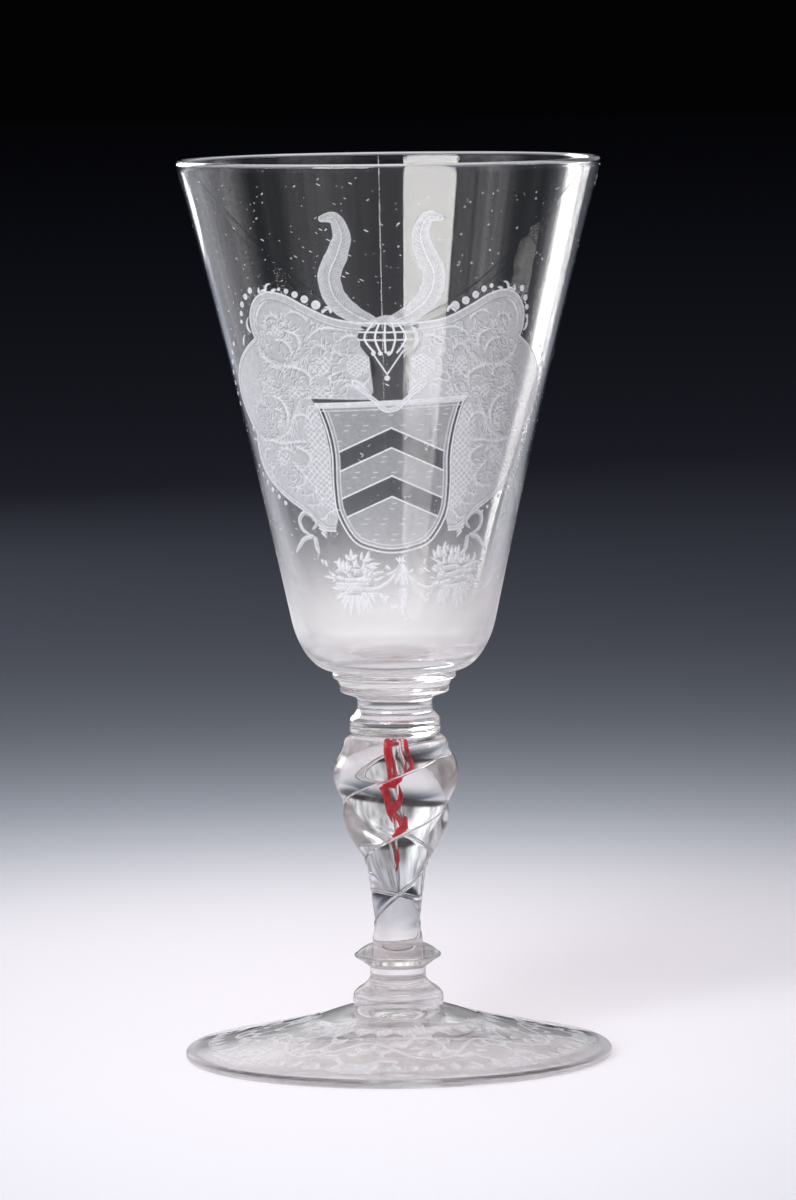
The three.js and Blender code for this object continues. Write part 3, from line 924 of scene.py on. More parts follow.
def engrave_shield():
    """The shield: matt, with clear chevrons, staggered dashes and a grooved double border."""
    sheet = Sheet((-18.5, 26.8), (18.5, 63.2))
    sheet.fill(shield_outline(), FIELD)
    reach = 16
    for apex, thick in CHEVRONS:
        low = apex - CHEVRON_DROP * reach
        band = [(-reach, low), (0, apex), (reach, low), (reach, low - thick), (0, apex - thick),
                (-reach, low - thick)]
        sheet.fill(band, 0.02)
        for edge in (band[:3], band[3:]):
            sheet.stroke(edge, 0.17, BRIGHT, 0.04)
    engrave_dashes(sheet)
    beyond = ~sheet.inside(shield_outline(1.6))
    sheet.cut[beyond] = np.where(sheet.inside(shield_outline())[beyond], FIELD, 0)
    sheet.relief[beyond] = 0
    # The border's dark band is a polished groove with painted shade.
    for by, half, tone in ((0.0, 0.16, BRIGHT), (0.5, 0.2, GROOVE_PAINTED_SHADE), (0.95, 0.16, 0.85),
                           (1.7, 0.11, LINE)):
        path = shield_outline(by)
        sheet.stroke(np.concatenate([path, path[:1]]), half, tone, 0.05)
    sheet.stroke(shield_outline(0.5)[[-1, 0]], 0.3, 0.85, 0.05)
    lay_skin("shield_engraving", sheet, on_bowl, 0.05)


def engrave_dashes(sheet):
    """Rows of staggered pairs of short dashes on the shield's matt fields."""
    for row, v in enumerate(np.arange(31.2, 61.0, 1.15)):
        if row % 3 == 2:
            continue
        for k in range(-4, 5):
            u = 4.0 * k + 2.0 * ((row // 3) % 2) + 0.5 * (row % 3)
            depth = [apex - CHEVRON_DROP * abs(u) - v for apex, _ in CHEVRONS]
            if any(-0.9 < d < thick + 0.9 for d, (_, thick) in zip(depth, CHEVRONS)):
                continue
            sheet.stroke([(u - 0.62, v), (u + 0.62, v + 0.04)], 0.11, 0.74, 0.02, (0.3, 0.3))


def engrave_helmet():
    """The helmet: a clear dome behind bright bars, a beaded collar and a clear neck."""
    sheet = Sheet((-10.5, 58.8), (9.5, 82))
    middle = -0.8
    dome = spline([(-0.8, 80.7), (-4.6, 79.6), (-7.2, 77.0), (-7.1, 75.0), (-5.6, 73.2),
                   (-3.9, 71.4), (-3.5, 67.6), (-7.2, 66.4), (-6.2, 64.2), (-3.6, 62.6),
                   (-0.6, 60.6), (2.6, 62.6), (5.2, 64.6), (6.2, 66.4), (3.0, 67.6), (2.5, 71.4),
                   (4.6, 73.6), (5.6, 75.4), (5.4, 77.4), (3.2, 79.6)], closed=True)
    sheet.fill(dome, 0.05)
    cap = spline([(-5.0, 79.2), (-0.8, 80.8), (3.6, 79.2)])
    sheet.fill(np.concatenate([cap, [(3.6, 79.0), (-5.0, 79.0)]]), 0.6, 0.04)
    for v, low, high in ((79.0, -5.1, 3.6), (77.1, -6.9, 5.0), (75.4, -7.1, 5.4)):
        sheet.stroke([(low, v), (middle, v - 0.1), (high, v)], 0.17, BRIGHT, 0.06)
    for lean in (-1.0, -0.52, -0.08, 0.4, 0.88):
        bar = spline([(middle + 2.9 * lean, 79.0), (middle + 4.6 * lean, 76.6),
                      (middle + 4.4 * lean, 74.8), (middle + 2.6 * lean, 72.6)])
        sheet.stroke(bar, 0.22, BRIGHT, 0.06)
    # A painted highlight: a bright crescent on the helmet's right side, for the key light mirrored there.
    painted_highlight_crescent = [(4.0, 79.0), (6.0, 77.2), (6.2, 74.8), (4.6, 73.0), (5.2, 75.4), (4.9, 77.4)]
    sheet.fill(spline(painted_highlight_crescent, closed=True), 0.8, 0.05)
    for u in (-3.7, -2.2, -0.3):
        sheet.bead((u, 72.4), 0.48, BRIGHT)
    sheet.stroke([(-3.5, 72.0), (-0.75, 67.8), (2.8, 73.0)], 0.16, BRIGHT, 0.05)
    sheet.bead((-0.75, 67.0), 0.6, BRIGHT)
    gorget = spline([(-7.6, 66.0), (-5.6, 63.7), (-3.2, 61.8), (-2.2, 60.5), (-0.4, 59.9),
                     (1.8, 60.6), (3.2, 62.2), (5.4, 64.0), (7.4, 65.2)])
    sheet.stroke(gorget, 0.5, 0.55, 0.06, (0.1, 0.1))
    sheet.stroke(gorget + (0, -0.45), 0.14, BRIGHT, 0.04)
    sheet.stroke(gorget + (0, 0.45), 0.12, LINE, 0.04)
    for hand in (-1, 1):
        side = middle + 0.5
        knot = spline([(side + hand * 3.2, 62.4), (side + hand * 5.0, 63.3), (side + hand * 7.6, 65.2),
                       (side + hand * 8.0, 66.4), (side + hand * 6.6, 66.0),
                       (side + hand * 4.2, 63.9)])
        sheet.stroke(knot, 0.36, BODY, 0.05, (0.2, 0.2))
        sheet.stroke(knot, 0.12, BRIGHT, 0.05, (0.2, 0.2))
    lay_skin("helmet_engraving", sheet, on_bowl, 0.08)


PLUME = [(3.3, 79.4), (7.2, 81.2), (11.0, 84.6), (12.3, 89.4), (10.4, 94.2), (9.4, 98.2), (11.0, 101.9),
         (13.8, 101.8)]


def engrave_plume(name, hand, shift):
    """A crest plume: a curled feather whose barbs sweep up from a bright quill. Its half width is
    R sin(pi (0.14 + 0.8 s)), with scallops, s being the share of its length."""
    widest, barbs = 2.7, 34
    quill = spline([(hand * u + shift, v) for u, v in PLUME], n=14)
    sheet = Sheet(quill.min(0) - 4, quill.max(0) + 4)
    place, far, along, side = sheet.near(quill, 4)
    half = widest * np.sin(np.pi * (0.14 + 0.8 * along)) ** 0.75
    half = half * (1 - 0.05 * np.abs(np.sin(26 * along + 0.6 * side)))
    cover = sheet.edge(half - far)
    share = far / half
    barb = np.sin(2 * np.pi * (along * barbs - 1.1 * far))
    outer = side * hand < 0
    shade = CLOTH - 0.06 + 0.05 * barb + 0.12 * outer * smoothstep(1.3 * share - 0.3)
    shade = shade - 0.09 * ~outer * smoothstep(1 - far)
    sheet.lay(place, cover, shade, 0.05)
    sheet.relief[place] += cover * 0.02 * barb
    rim = np.clip(1 - np.abs(half - far - 0.1) / 0.16, 0, 1)
    sheet.lay(place, rim, 0.64, 0.02)
    sheet.stroke(quill, 0.13, 0.84, 0.06, (0.05, 0.4))
    lay_skin(name, sheet, on_bowl, 0.06)


# One side of the mantling, as if on the right. The lobes of its border run from the helmet out and
# down to the foot of the shield, and the inner side comes back up along the shield and helmet.
TOP_LOBE = [(3.0, 79.0), (8.0, 79.2), (13.0, 80.2), (18.5, 82.7), (23.0, 84.9), (27.5, 85.6),
            (30.8, 84.2), (32.7, 81.4), (33.0, 78.2), (31.9, 75.2)]
SIDE_LOBE = [(31.9, 75.2), (35.2, 73.0), (38.4, 70.2), (40.8, 66.8), (41.4, 63.2), (39.8, 59.2),
             (36.8, 55.8), (34.8, 53.8)]
LOW_LOBE = [(34.8, 53.8), (35.2, 51.0), (34.7, 48.0), (32.6, 45.0), (28.5, 41.9), (24.0, 39.3),
            (20.0, 37.2), (17.4, 35.0), (15.0, 33.2), (12.6, 33.0)]
INNER_SIDE = [(11.9, 36.2), (13.1, 43.0), (13.3, 50.0), (14.4, 55.6), (16.2, 60.6), (17.5, 62.3),
              (4.6, 62.2), (3.8, 64.2), (4.2, 68.0), (4.6, 71.5), (6.4, 73.8), (7.2, 76.0),
              (6.0, 78.8)]

# Limbs of its scrolls: points, half width of the body, brightness and side of the shade
LIMBS = (
    ([(5.5, 77.6), (9.5, 77.6), (14.0, 78.0), (16.5, 77.0), (18.2, 75.0)], 0.7, 0.8, -1),
    ([(7.0, 76.2), (9.5, 76.2), (11.2, 75.2), (12.2, 74.0)], 0.6, 0.74, -1),
    ([(17.8, 79.0), (18.6, 80.4), (20.2, 81.3), (22.0, 81.3), (23.2, 80.2)], 0.7, 0.76, -1),
    ([(23.6, 77.3), (21.0, 76.6), (19.9, 75.0), (20.2, 72.8)], 0.9, 0.84, 1),
    ([(26.2, 75.3), (23.8, 75.0), (22.2, 73.6), (21.7, 71.8)], 0.8, 0.84, 1),
    ([(17.4, 72.6), (20.5, 70.0), (24.5, 69.3), (28.0, 70.2), (30.4, 72.2), (31.5, 75.0)], 1.2, 0.7, 1),
    ([(18.0, 64.8), (17.4, 66.9), (18.9, 68.4), (21.5, 69.2), (25.0, 69.6)], 0.8, 0.8, -1),
    ([(24.3, 66.4), (24.0, 68.0), (25.6, 69.0), (28.2, 69.1)], 0.7, 0.72, -1),
    ([(25.4, 64.0), (27.2, 64.3), (29.6, 65.4)], 0.6, 0.7, 1),
    ([(28.0, 62.7), (25.4, 62.0), (23.9, 60.2), (23.4, 57.8), (24.0, 55.6), (25.8, 54.4)], 1.0, 0.84, 1),
    ([(27.6, 59.7), (25.8, 59.6), (24.6, 58.8)], 0.6, 0.78, 1),
    ([(20.2, 62.4), (21.4, 59.0), (23.0, 55.4), (26.0, 53.2), (30.4, 52.5), (34.4, 53.7)], 1.1, 0.74, 1),
    ([(17.4, 55.4), (17.9, 57.6), (19.6, 58.8), (21.6, 58.4), (22.7, 57.0)], 0.7, 0.8, -1),
    ([(18.4, 52.6), (21.5, 52.7), (25.5, 52.1), (30.4, 53.0)], 0.7, 0.8, -1),
    ([(22.2, 51.7), (19.2, 50.7), (18.0, 49.0), (19.1, 47.1), (21.7, 46.5)], 0.9, 0.8, 1),
    ([(23.2, 48.4), (21.0, 46.7), (19.5, 44.6), (20.7, 42.8), (25.2, 42.1)], 0.8, 0.74, 1),
    ([(28.2, 47.3), (29.9, 45.2), (28.0, 43.2)], 0.7, 0.7, -1),
    ([(16.8, 42.7), (18.0, 41.0), (20.5, 40.6)], 0.6, 0.72, 1),
    ([(14.6, 41.0), (16.4, 38.8), (19.6, 38.6)], 0.6, 0.72, 1),
    ([(13.6, 37.8), (15.4, 35.6), (18.0, 36.4)], 0.6, 0.76, 1),
    ([(21.6, 83.0), (24.0, 84.1), (26.8, 84.2), (29.2, 82.9), (30.8, 80.6), (31.2, 77.8), (30.4, 75.4)],
     0.8, 0.78, -1),
    ([(9.0, 66.4), (11.0, 66.5), (12.7, 66.0), (13.1, 67.0), (11.9, 68.1), (10.0, 68.7)], 0.6, 0.78, 1),
    ([(13.6, 72.4), (15.0, 74.2), (17.0, 73.6), (17.2, 71.8)], 0.7, 0.66, -1),
    ([(4.6, 67.4), (5.4, 66.0), (7.4, 65.2), (9.8, 65.4), (11.4, 64.0)], 0.6, 0.78, 1),
    ([(4.4, 70.4), (5.6, 68.8), (7.8, 68.6)], 0.6, 0.74, 1),
    ([(10.2, 71.6), (12.0, 72.6), (13.0, 71.2)], 0.6, 0.66, -1),
    ([(24.6, 79.6), (26.6, 80.6), (28.4, 79.4), (28.2, 77.2)], 0.7, 0.68, -1),
    ([(22.0, 49.8), (24.0, 51.0), (26.4, 50.2), (26.8, 48.2)], 0.8, 0.68, -1),
    ([(29.0, 50.6), (31.4, 50.2), (32.4, 48.0)], 0.8, 0.66, -1),
    ([(29.6, 59.8), (31.4, 61.2), (33.6, 60.0), (33.4, 57.6)], 0.9, 0.64, -1),
)

# Ruled grounds: outline, the two angles and the spacing
DIAPERS = (
    ([(18.0, 61.6), (19.6, 56.0), (18.4, 52.6), (17.8, 48.0), (20.0, 45.0), (18.0, 42.4), (16.0, 39.0),
      (12.4, 36.4), (13.2, 43.0), (13.4, 50.0), (14.6, 55.6), (16.4, 60.4)], (42, -48), 0.95),
    ([(12.5, 65.6), (17.6, 64.6), (23.6, 65.2), (22.6, 62.2), (17.6, 62.2), (12.0, 62.6)], (30, -42), 0.95),
    ([(4.6, 71.6), (7.0, 72.4), (9.6, 70.6), (9.6, 68.6), (7.6, 66.8), (4.8, 68.4)], (22, -38), 0.7),
    ([(12.4, 71.4), (17.0, 71.6), (17.6, 68.6), (16.0, 66.8), (13.4, 68.2)], (40, -48), 0.9),
    ([(23.0, 79.2), (26.6, 79.4), (28.2, 76.2), (24.2, 75.8)], (35, -60), 0.9),
    ([(27.0, 67.0), (31.2, 66.4), (30.6, 62.8), (27.8, 63.6)], (35, -55), 0.9),
    ([(23.8, 58.6), (26.0, 58.4), (27.0, 55.4), (24.6, 55.6)], (8, -82), 0.7),
    ([(23.4, 50.4), (28.0, 50.6), (27.0, 46.6), (23.8, 47.6)], (38, -50), 1.0),
)

BEADS_RIGHT = (
    (14.4, 82.5, 1.05), (16.9, 83.6, 0.9), (19.3, 84.8, 0.82), (21.4, 86.0, 0.7), (23.3, 86.6, 0.52),
    (32.0, 85.7, 0.72), (33.2, 83.6, 0.7), (33.9, 81.5, 0.62), (34.1, 79.4, 0.5), (33.9, 77.7, 0.38),
    (40.6, 72.6, 0.55), (41.9, 70.6, 0.6), (42.8, 68.4, 0.6), (43.3, 66.1, 0.6), (43.3, 63.8, 0.55),
    (42.9, 61.5, 0.55), (42.1, 59.5, 0.5), (41.1, 57.6, 0.5), (36.8, 51.6, 0.5), (36.4, 49.4, 0.5),
    (35.6, 47.5, 0.55), (34.3, 45.7, 0.6), (32.7, 44.0, 0.6), (30.9, 42.5, 0.6), (28.9, 41.1, 0.58),
    (26.9, 39.8, 0.55), (25.0, 38.7, 0.5), (23.2, 37.6, 0.42), (21.7, 36.7, 0.35))
BEADS_LEFT = (
    (15.9, 83.0, 1.0), (18.4, 84.2, 0.85), (20.6, 85.2, 0.72), (22.6, 85.9, 0.55), (24.4, 86.3, 0.38),
    (32.4, 85.8, 0.7), (34.0, 84.4, 0.7), (35.4, 82.6, 0.68), (36.0, 80.6, 0.6), (36.2, 78.8, 0.46),
    (41.0, 73.6, 0.55), (42.6, 71.6, 0.58), (43.9, 69.4, 0.58), (44.8, 67.0, 0.58), (45.1, 64.6, 0.55),
    (44.8, 62.2, 0.52), (44.0, 60.0, 0.5), (36.4, 46.4, 0.42), (34.6, 44.6, 0.45), (32.6, 43.0, 0.5),
    (30.4, 41.5, 0.55), (28.0, 40.0, 0.55), (25.8, 38.7, 0.55))

# Small curled leaves that spring from the border: root, angle, length and curl
SPRIGS = (((27.8, 85.6), 70, 3.0, 120), ((27.8, 85.6), 30, 2.0, -80), ((29.6, 85.2), 60, 1.6, 60),
          ((26.4, 85.6), 130, 1.8, 60), ((33.0, 76.4), 30, 4.6, 110), ((36.2, 73.4), 80, 3.0, 60),
          ((14.6, 81.2), 110, 2.0, 90), ((12.8, 81.2), 95, 2.4, -110), ((36.4, 54.2), 40, 2.4, 200),
          ((35.6, 52.4), -20, 1.6, 100), ((17.0, 34.6), 200, 3.0, 30), ((16.6, 33.6), 190, 2.6, 50),
          ((16.0, 32.8), 215, 2.2, 30))


def engrave_mantling(name, hand, beads, wide):
    """One side of the mantling: lobes with a smooth banded border, acanthus scrolls over ruled
    grounds, a pale smooth side lobe and a row of beads. Beyond 10 mm from the middle it is drawn
    wider by the share wide."""
    lobes = [spline(points, n=6) for points in (TOP_LOBE, SIDE_LOBE, LOW_LOBE)]
    outline = np.concatenate(lobes + [np.array(INNER_SIDE)])
    sheet = Sheet((2.0, 24.0), (46.5, 90.0))
    sheet.fill(outline, CLOTH)
    for region, angles, spacing in DIAPERS:
        sheet.diaper(region, angles, spacing)
    core = np.array([(7.0, 77.0), (17.0, 79.0), (26.0, 83.0), (30.0, 78.0), (31.5, 70.0), (32.0, 60.0),
                     (33.0, 48.0), (24.0, 42.0), (19.0, 41.0), (21.0, 48.0), (20.0, 60.0), (10.0, 64.0),
                     (9.0, 72.0)])
    sheet.wisps(core, 480, 7 + hand)
    pale = smoothstep(1.7 * (1.08 - np.hypot((sheet.u - 36.2) / 5.6, (sheet.v - 64.4) / 9.8)))
    sheet.lay(Ellipsis, 0.8 * pale * (sheet.cut > 0.2), 0.66)
    for points, half, bright, way in LIMBS:
        sheet.flourish(points, half, bright, way)
    within = sheet.inside(outline)
    for lobe, band in zip(lobes, (1.35, 0.5, 0.8)):
        place, far, _, _ = sheet.near(lobe, 3)
        body = within[place] * sheet.edge(band - far)
        sheet.lay(place, body, 0.6, 0.04)
        for off, half, tone in ((0.05, 0.15, 0.86), (band, 0.11, 0.8), (band + 0.28, 0.14, CLOTH - 0.16)):
            line_cover = sheet.edge(half - np.abs(far - off)) * (within[place] | (off < 0.1))
            sheet.lay(place, line_cover, tone, 0.03)
    for u, v, radius in beads:
        sheet.bead((u, v), radius)
    for root, angle, length, curl in SPRIGS:
        sheet.leaf(toward(root, angle, length, curl), 0.36, 0.62, BRIGHT)
    engrave_ribbon(sheet)
    sheet.u = hand * (sheet.u + wide * np.maximum(sheet.u - 10, 0))
    if hand < 0:
        for key in ("u", "v", "cut", "relief"):
            setattr(sheet, key, getattr(sheet, key)[::-1])
    lay_skin(name, sheet, on_bowl)


def engrave_ribbon(sheet):
    """The ribbon that ties the foot of the mantling: a loop, a knot and forked ends."""
    loop = spline([(18.2, 33.0), (17.0, 34.6), (18.2, 36.2), (20.2, 36.8), (21.6, 35.2), (20.8, 33.0),
                   (18.6, 31.8)])
    sheet.stroke(loop, 0.55, 0.55, 0.05, (0.2, 0.2))
    sheet.stroke(loop + (0.2, 0.25), 0.12, BRIGHT, 0.03, (0.2, 0.3))
    for end in ([(17.9, 31.8), (20.4, 31.0), (22.0, 29.4), (23.4, 27.6)],
                [(17.6, 31.6), (17.2, 29.4), (16.6, 27.6)]):
        sheet.stroke(spline(end), 0.6, 0.57, 0.05, (0.1, 0.35))
        sheet.stroke(spline(end) + (0.2, 0.1), 0.12, 0.8, 0.02, (0.1, 0.3))


# Leaves of the two sprays and the drop, as they look from the front: root, tip and half width
LEAVES = (
    ((-8.9, 27.0), (-9.4, 29.0), 0.5), ((-8.8, 26.8), (-10.2, 28.0), 0.45),
    ((-8.7, 26.8), (-7.6, 28.0), 0.4), ((-6.9, 26.6), (-6.9, 28.7), 0.45),
    ((-5.9, 26.6), (-5.3, 29.0), 0.5), ((-5.8, 26.4), (-4.5, 27.0), 0.42),
    ((-5.2, 25.6), (-2.6, 26.3), 0.45), ((-5.2, 25.1), (-3.1, 24.8), 0.45),
    ((-11.4, 24.6), (-11.6, 27.0), 0.5), ((-10.5, 24.6), (-10.8, 26.8), 0.4),
    ((-9.8, 24.6), (-9.7, 26.6), 0.4), ((-7.9, 24.6), (-8.3, 27.0), 0.5),
    ((-6.4, 24.6), (-6.2, 26.6), 0.4), ((-12.6, 23.0), (-14.3, 23.8), 0.35),
    ((-12.8, 22.6), (-15.1, 22.5), 0.4), ((-12.8, 22.4), (-13.5, 21.2), 0.4),
    ((-15.6, 26.6), (-15.2, 25.2), 0.3), ((-14.8, 26.4), (-14.5, 25.0), 0.3),
    ((-11.4, 20.4), (-13.8, 20.1), 0.35), ((-11.2, 19.0), (-12.5, 17.2), 0.45),
    ((-10.4, 18.8), (-11.6, 16.2), 0.45), ((-9.7, 18.6), (-10.9, 15.0), 0.5),
    ((-8.9, 18.4), (-9.3, 14.1), 0.5), ((-8.0, 18.4), (-7.7, 13.7), 0.5),
    ((-7.2, 18.4), (-6.6, 15.0), 0.4), ((-6.6, 18.4), (-5.6, 14.7), 0.5),
    ((-5.8, 18.6), (-4.2, 15.7), 0.45), ((-5.0, 18.8), (-3.8, 17.0), 0.35),
    ((-2.2, 18.4), (-3.2, 19.2), 0.4), ((-2.0, 18.2), (-1.0, 18.9), 0.42),
    ((-2.0, 18.1), (-2.4, 17.0), 0.42), ((-1.9, 18.1), (-1.2, 17.1), 0.42),
    ((-1.7, 25.3), (-0.1, 24.5), 0.4), ((-3.7, 22.0), (-1.7, 23.1), 0.35),
    ((1.6, 26.2), (0.4, 27.2), 0.35), ((1.7, 26.2), (1.2, 27.9), 0.35),
    ((1.8, 26.2), (2.5, 27.8), 0.35), ((1.8, 26.2), (3.1, 26.6), 0.35),
    ((1.9, 26.0), (1.9, 20.6), 1.0), ((1.5, 24.0), (0.5, 20.8), 0.5),
    ((2.3, 24.0), (3.4, 20.8), 0.5), ((2.0, 20.6), (2.5, 16.0), 0.85),
    ((0.4, 15.8), (-1.2, 15.5), 0.5), ((0.3, 15.9), (-0.9, 16.8), 0.45),
    ((0.4, 16.0), (0.4, 17.3), 0.45), ((0.5, 15.8), (1.6, 16.3), 0.45),
    ((2.2, 15.6), (3.2, 14.0), 0.35), ((3.2, 14.2), (2.2, 12.5), 0.4),
    ((10.3, 27.0), (9.6, 30.2), 0.7), ((11.5, 27.6), (11.6, 30.4), 0.48),
    ((12.9, 26.0), (12.8, 29.8), 0.5), ((13.7, 26.0), (13.6, 28.4), 0.4),
    ((14.5, 26.0), (14.3, 29.6), 0.5), ((9.4, 26.8), (8.8, 28.8), 0.45),
    ((10.6, 25.6), (8.4, 27.2), 0.35), ((11.2, 25.8), (10.8, 27.6), 0.4),
    ((12.2, 25.8), (12.0, 27.6), 0.4), ((15.4, 25.8), (15.6, 28.0), 0.4),
    ((16.2, 25.8), (16.8, 27.6), 0.4), ((17.6, 25.8), (18.3, 27.4), 0.4),
    ((17.8, 25.6), (19.4, 25.5), 0.4), ((17.6, 25.4), (17.8, 24.2), 0.4),
    ((3.9, 23.6), (5.1, 24.9), 0.35), ((6.5, 25.0), (8.6, 23.4), 0.35),
    ((7.8, 22.6), (9.6, 22.0), 0.3), ((8.4, 24.4), (9.8, 23.6), 0.3),
    ((10.4, 19.9), (9.8, 16.0), 0.75), ((11.0, 19.9), (11.2, 16.3), 0.7),
    ((12.0, 20.0), (11.9, 17.6), 0.4), ((13.4, 19.6), (12.6, 16.0), 0.5),
    ((13.8, 19.5), (13.9, 15.5), 0.5), ((14.5, 19.6), (15.1, 15.7), 0.45),
    ((15.2, 19.7), (16.9, 17.6), 0.4), ((15.2, 20.2), (17.2, 19.0), 0.4),
    ((15.4, 20.8), (17.4, 20.1), 0.4), ((15.4, 19.2), (16.1, 16.7), 0.4),
    ((7.0, 18.2), (5.9, 18.8), 0.45), ((7.0, 18.0), (6.2, 16.9), 0.45),
    ((7.2, 18.0), (7.5, 16.9), 0.45), ((7.3, 18.3), (8.2, 19.2), 0.4),
    ((17.0, 22.6), (18.0, 21.6), 0.4),
)

# Their stems and swags: points and half width
STEMS = (
    ([(-12.5, 23.9), (-10.6, 24.5), (-7.7, 24.6), (-4.8, 24.0)], 0.55),
    ([(-12.7, 22.7), (-9.9, 22.1), (-6.4, 22.5), (-3.9, 23.6), (-1.9, 24.0)], 0.5),
    ([(-12.6, 21.2), (-9.0, 21.0), (-6.2, 21.6), (-4.6, 22.4)], 0.5),
    ([(-12.6, 20.3), (-10.4, 20.2), (-8.6, 20.4), (-6.4, 20.2)], 0.5),
    ([(-12.0, 19.0), (-9.9, 18.6), (-7.0, 18.6), (-3.2, 19.1)], 0.6),
    ([(1.5, 25.9), (0.5, 23.6), (-0.9, 21.9), (-3.6, 20.3), (-6.6, 20.3)], 0.45),
    ([(1.3, 25.0), (0.2, 24.0), (-1.6, 23.4)], 0.35),
    ([(2.4, 25.6), (3.5, 23.0), (5.7, 21.1), (7.9, 20.3), (10.4, 21.2), (13.0, 21.3)], 0.45),
    ([(2.2, 25.0), (3.2, 22.8), (5.0, 21.6)], 0.35),
    ([(9.5, 25.1), (11.8, 25.7), (14.6, 25.6), (18.2, 25.8)], 0.45),
    ([(10.0, 24.3), (12.7, 24.7), (15.0, 24.4), (17.5, 23.6)], 0.6),
    ([(9.4, 22.7), (12.4, 23.0), (15.2, 23.5), (17.4, 22.4)], 0.6),
    ([(9.5, 20.9), (12.0, 21.6), (14.6, 22.2), (17.5, 22.0)], 0.5),
    ([(10.6, 20.2), (13.4, 20.3), (16.2, 20.9)], 0.6),
    ([(-12.7, 22.5), (-11.6, 23.2)], 0.16), ([(-3.5, 19.1), (-2.2, 18.3)], 0.16),
    ([(-8.9, 27.0), (-8.3, 25.0)], 0.16), ([(-5.8, 26.6), (-6.4, 25.0)], 0.16),
    ([(7.2, 18.4), (8.8, 20.2)], 0.16), ([(17.7, 25.6), (16.6, 25.8)], 0.16),
    ([(2.1, 16.2), (2.3, 15.2), (3.1, 14.0)], 0.3),
)
CUTS = ([(-9.2, 24.9), (-7.0, 24.9)], [(-5.4, 20.9), (-4.4, 21.0)], [(-10.2, 19.0), (-6.6, 19.0)],
        [(11.0, 25.2), (12.4, 25.4)], [(12.3, 21.9), (13.4, 22.1)], [(14.2, 25.1), (15.4, 25.1)],
        [(-8.8, 22.9), (-7.4, 22.9)], [(11.4, 23.6), (13.0, 23.8)])


# The two nosegays that cover the sprays' middles: centre, half width, half height and count
NOSEGAYS = (((-8.3, 21.7), 4.6, 3.6, 26), ((13.6, 22.9), 4.4, 3.6, 26), ((-8.2, 26.4), 3.4, 1.6, 9),
            ((13.0, 27.2), 3.6, 1.6, 9))


def engrave_nosegays(sheet):
    """Small petals that overlap, thrown over each nosegay's oval and turned outwards, each over a painted
    shadow.
    """
    chance = np.random.default_rng(11)
    for (u, v), wide, high, count in NOSEGAYS:
        for _ in range(count):
            turn, reach = 2 * math.pi * chance.random(), math.sqrt(chance.random())
            root = np.array([u + wide * reach * math.cos(turn), v + high * reach * math.sin(turn)])
            lean = math.degrees(turn) + 50 * (chance.random() - 0.5)
            petal = toward(root, lean, 1.1 + 0.8 * chance.random(), 60 * (chance.random() - 0.5))
            half = 0.34 + 0.16 * chance.random()
            # A painted shadow: a darker, wider copy of the petal, set a little down and to the right.
            sheet.leaf(petal + (0.08, -0.14), half + 0.1, 0.3, 0.3, 0)
            sheet.leaf(petal, half, 0.56, BRIGHT)


def engrave_sprays():
    """Two flower sprays that hang on a festoon and a leafy drop between them."""
    sheet = Sheet((-16.5, 11.5), (20.0, 31.0))
    for points, half in STEMS:
        path = spline(points)
        sheet.stroke(path, half, 0.6, 0.05, (0.12, 0.2))
        # A painted highlight along the top of a broad stem and a painted shade along its underside.
        if half > 0.3:
            sheet.stroke(path + (0, 0.55 * half), 0.12, BRIGHT, 0.02, (0.1, 0.2))
            sheet.stroke(path - (0, 0.8 * half), 0.1, 0.35, -0.02, (0.2, 0.2))
    engrave_nosegays(sheet)
    chance = np.random.default_rng(5)
    for root, tip, half in LEAVES:
        root, tip = np.array(root), np.array(tip) + 0.7 * (chance.random(2) - 0.5)
        middle = (root + tip) / 2 + 0.5 * (chance.random(2) - 0.5)
        sheet.leaf([root, middle, tip], half * (0.85 + 0.3 * chance.random()), 0.6, BRIGHT)
    # Polished grooves tinted dark: painted shade.
    for path in CUTS:
        sheet.stroke(path, 0.14, GROOVE_PAINTED_SHADE, -0.02, (0.3, 0.3))
    lay_skin("spray_engraving", sheet, seen_from_front)


def make_seeds():
    """Seeds, the tiny bubbles in the bowl's wall, and a few scuffs: flat hexagons on its outside,
    with more of them high up. They are placed by a fixed seed."""
    chance = np.random.default_rng(23)
    count = 900
    turn = 2 * np.pi * chance.random(count)
    height = 18 + 92 * chance.random(count) ** 0.8
    size = 0.12 + 0.2 * chance.random(count) ** 3
    r = np.interp(height, BOWL_SIDE[:, 1], BOWL_SIDE[:, 0])
    corner = np.arange(6) * np.pi / 3
    u = (turn * r)[:, None] + size[:, None] * np.cos(corner)
    v = height[:, None] + size[:, None] * np.sin(corner)
    points = on_bowl(u, v, 0.012).reshape(-1, 3)
    faces = np.arange(6 * count).reshape(count, 6).tolist()
    piece = make_mesh("bowl_seeds", points, faces, [GROUND])
    made = piece.data.attributes.new("cut", "FLOAT", "POINT")
    made.data.foreach_set("value", np.repeat(0.5 + 0.5 * chance.random(count), 6).astype(np.float32))
    dress(piece)


FOOT_SCALE = 30.0  # the radius at which the foot's drawing is as wide as it is drawn
SCROLLS_ROUND = 14


def on_foot(u, v, lift):
    """Where a point of the drawing lies on the foot: at radius v and at the angle u / 30 from the
    front."""
    side = foot_top()
    order = np.argsort(side[:, 0])
    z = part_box("foot")[0].z / MM + np.interp(v, side[order, 0], side[order, 1]) + lift
    return np.stack([v * np.sin(u / FOOT_SCALE), -v * np.cos(u / FOOT_SCALE), z], -1)


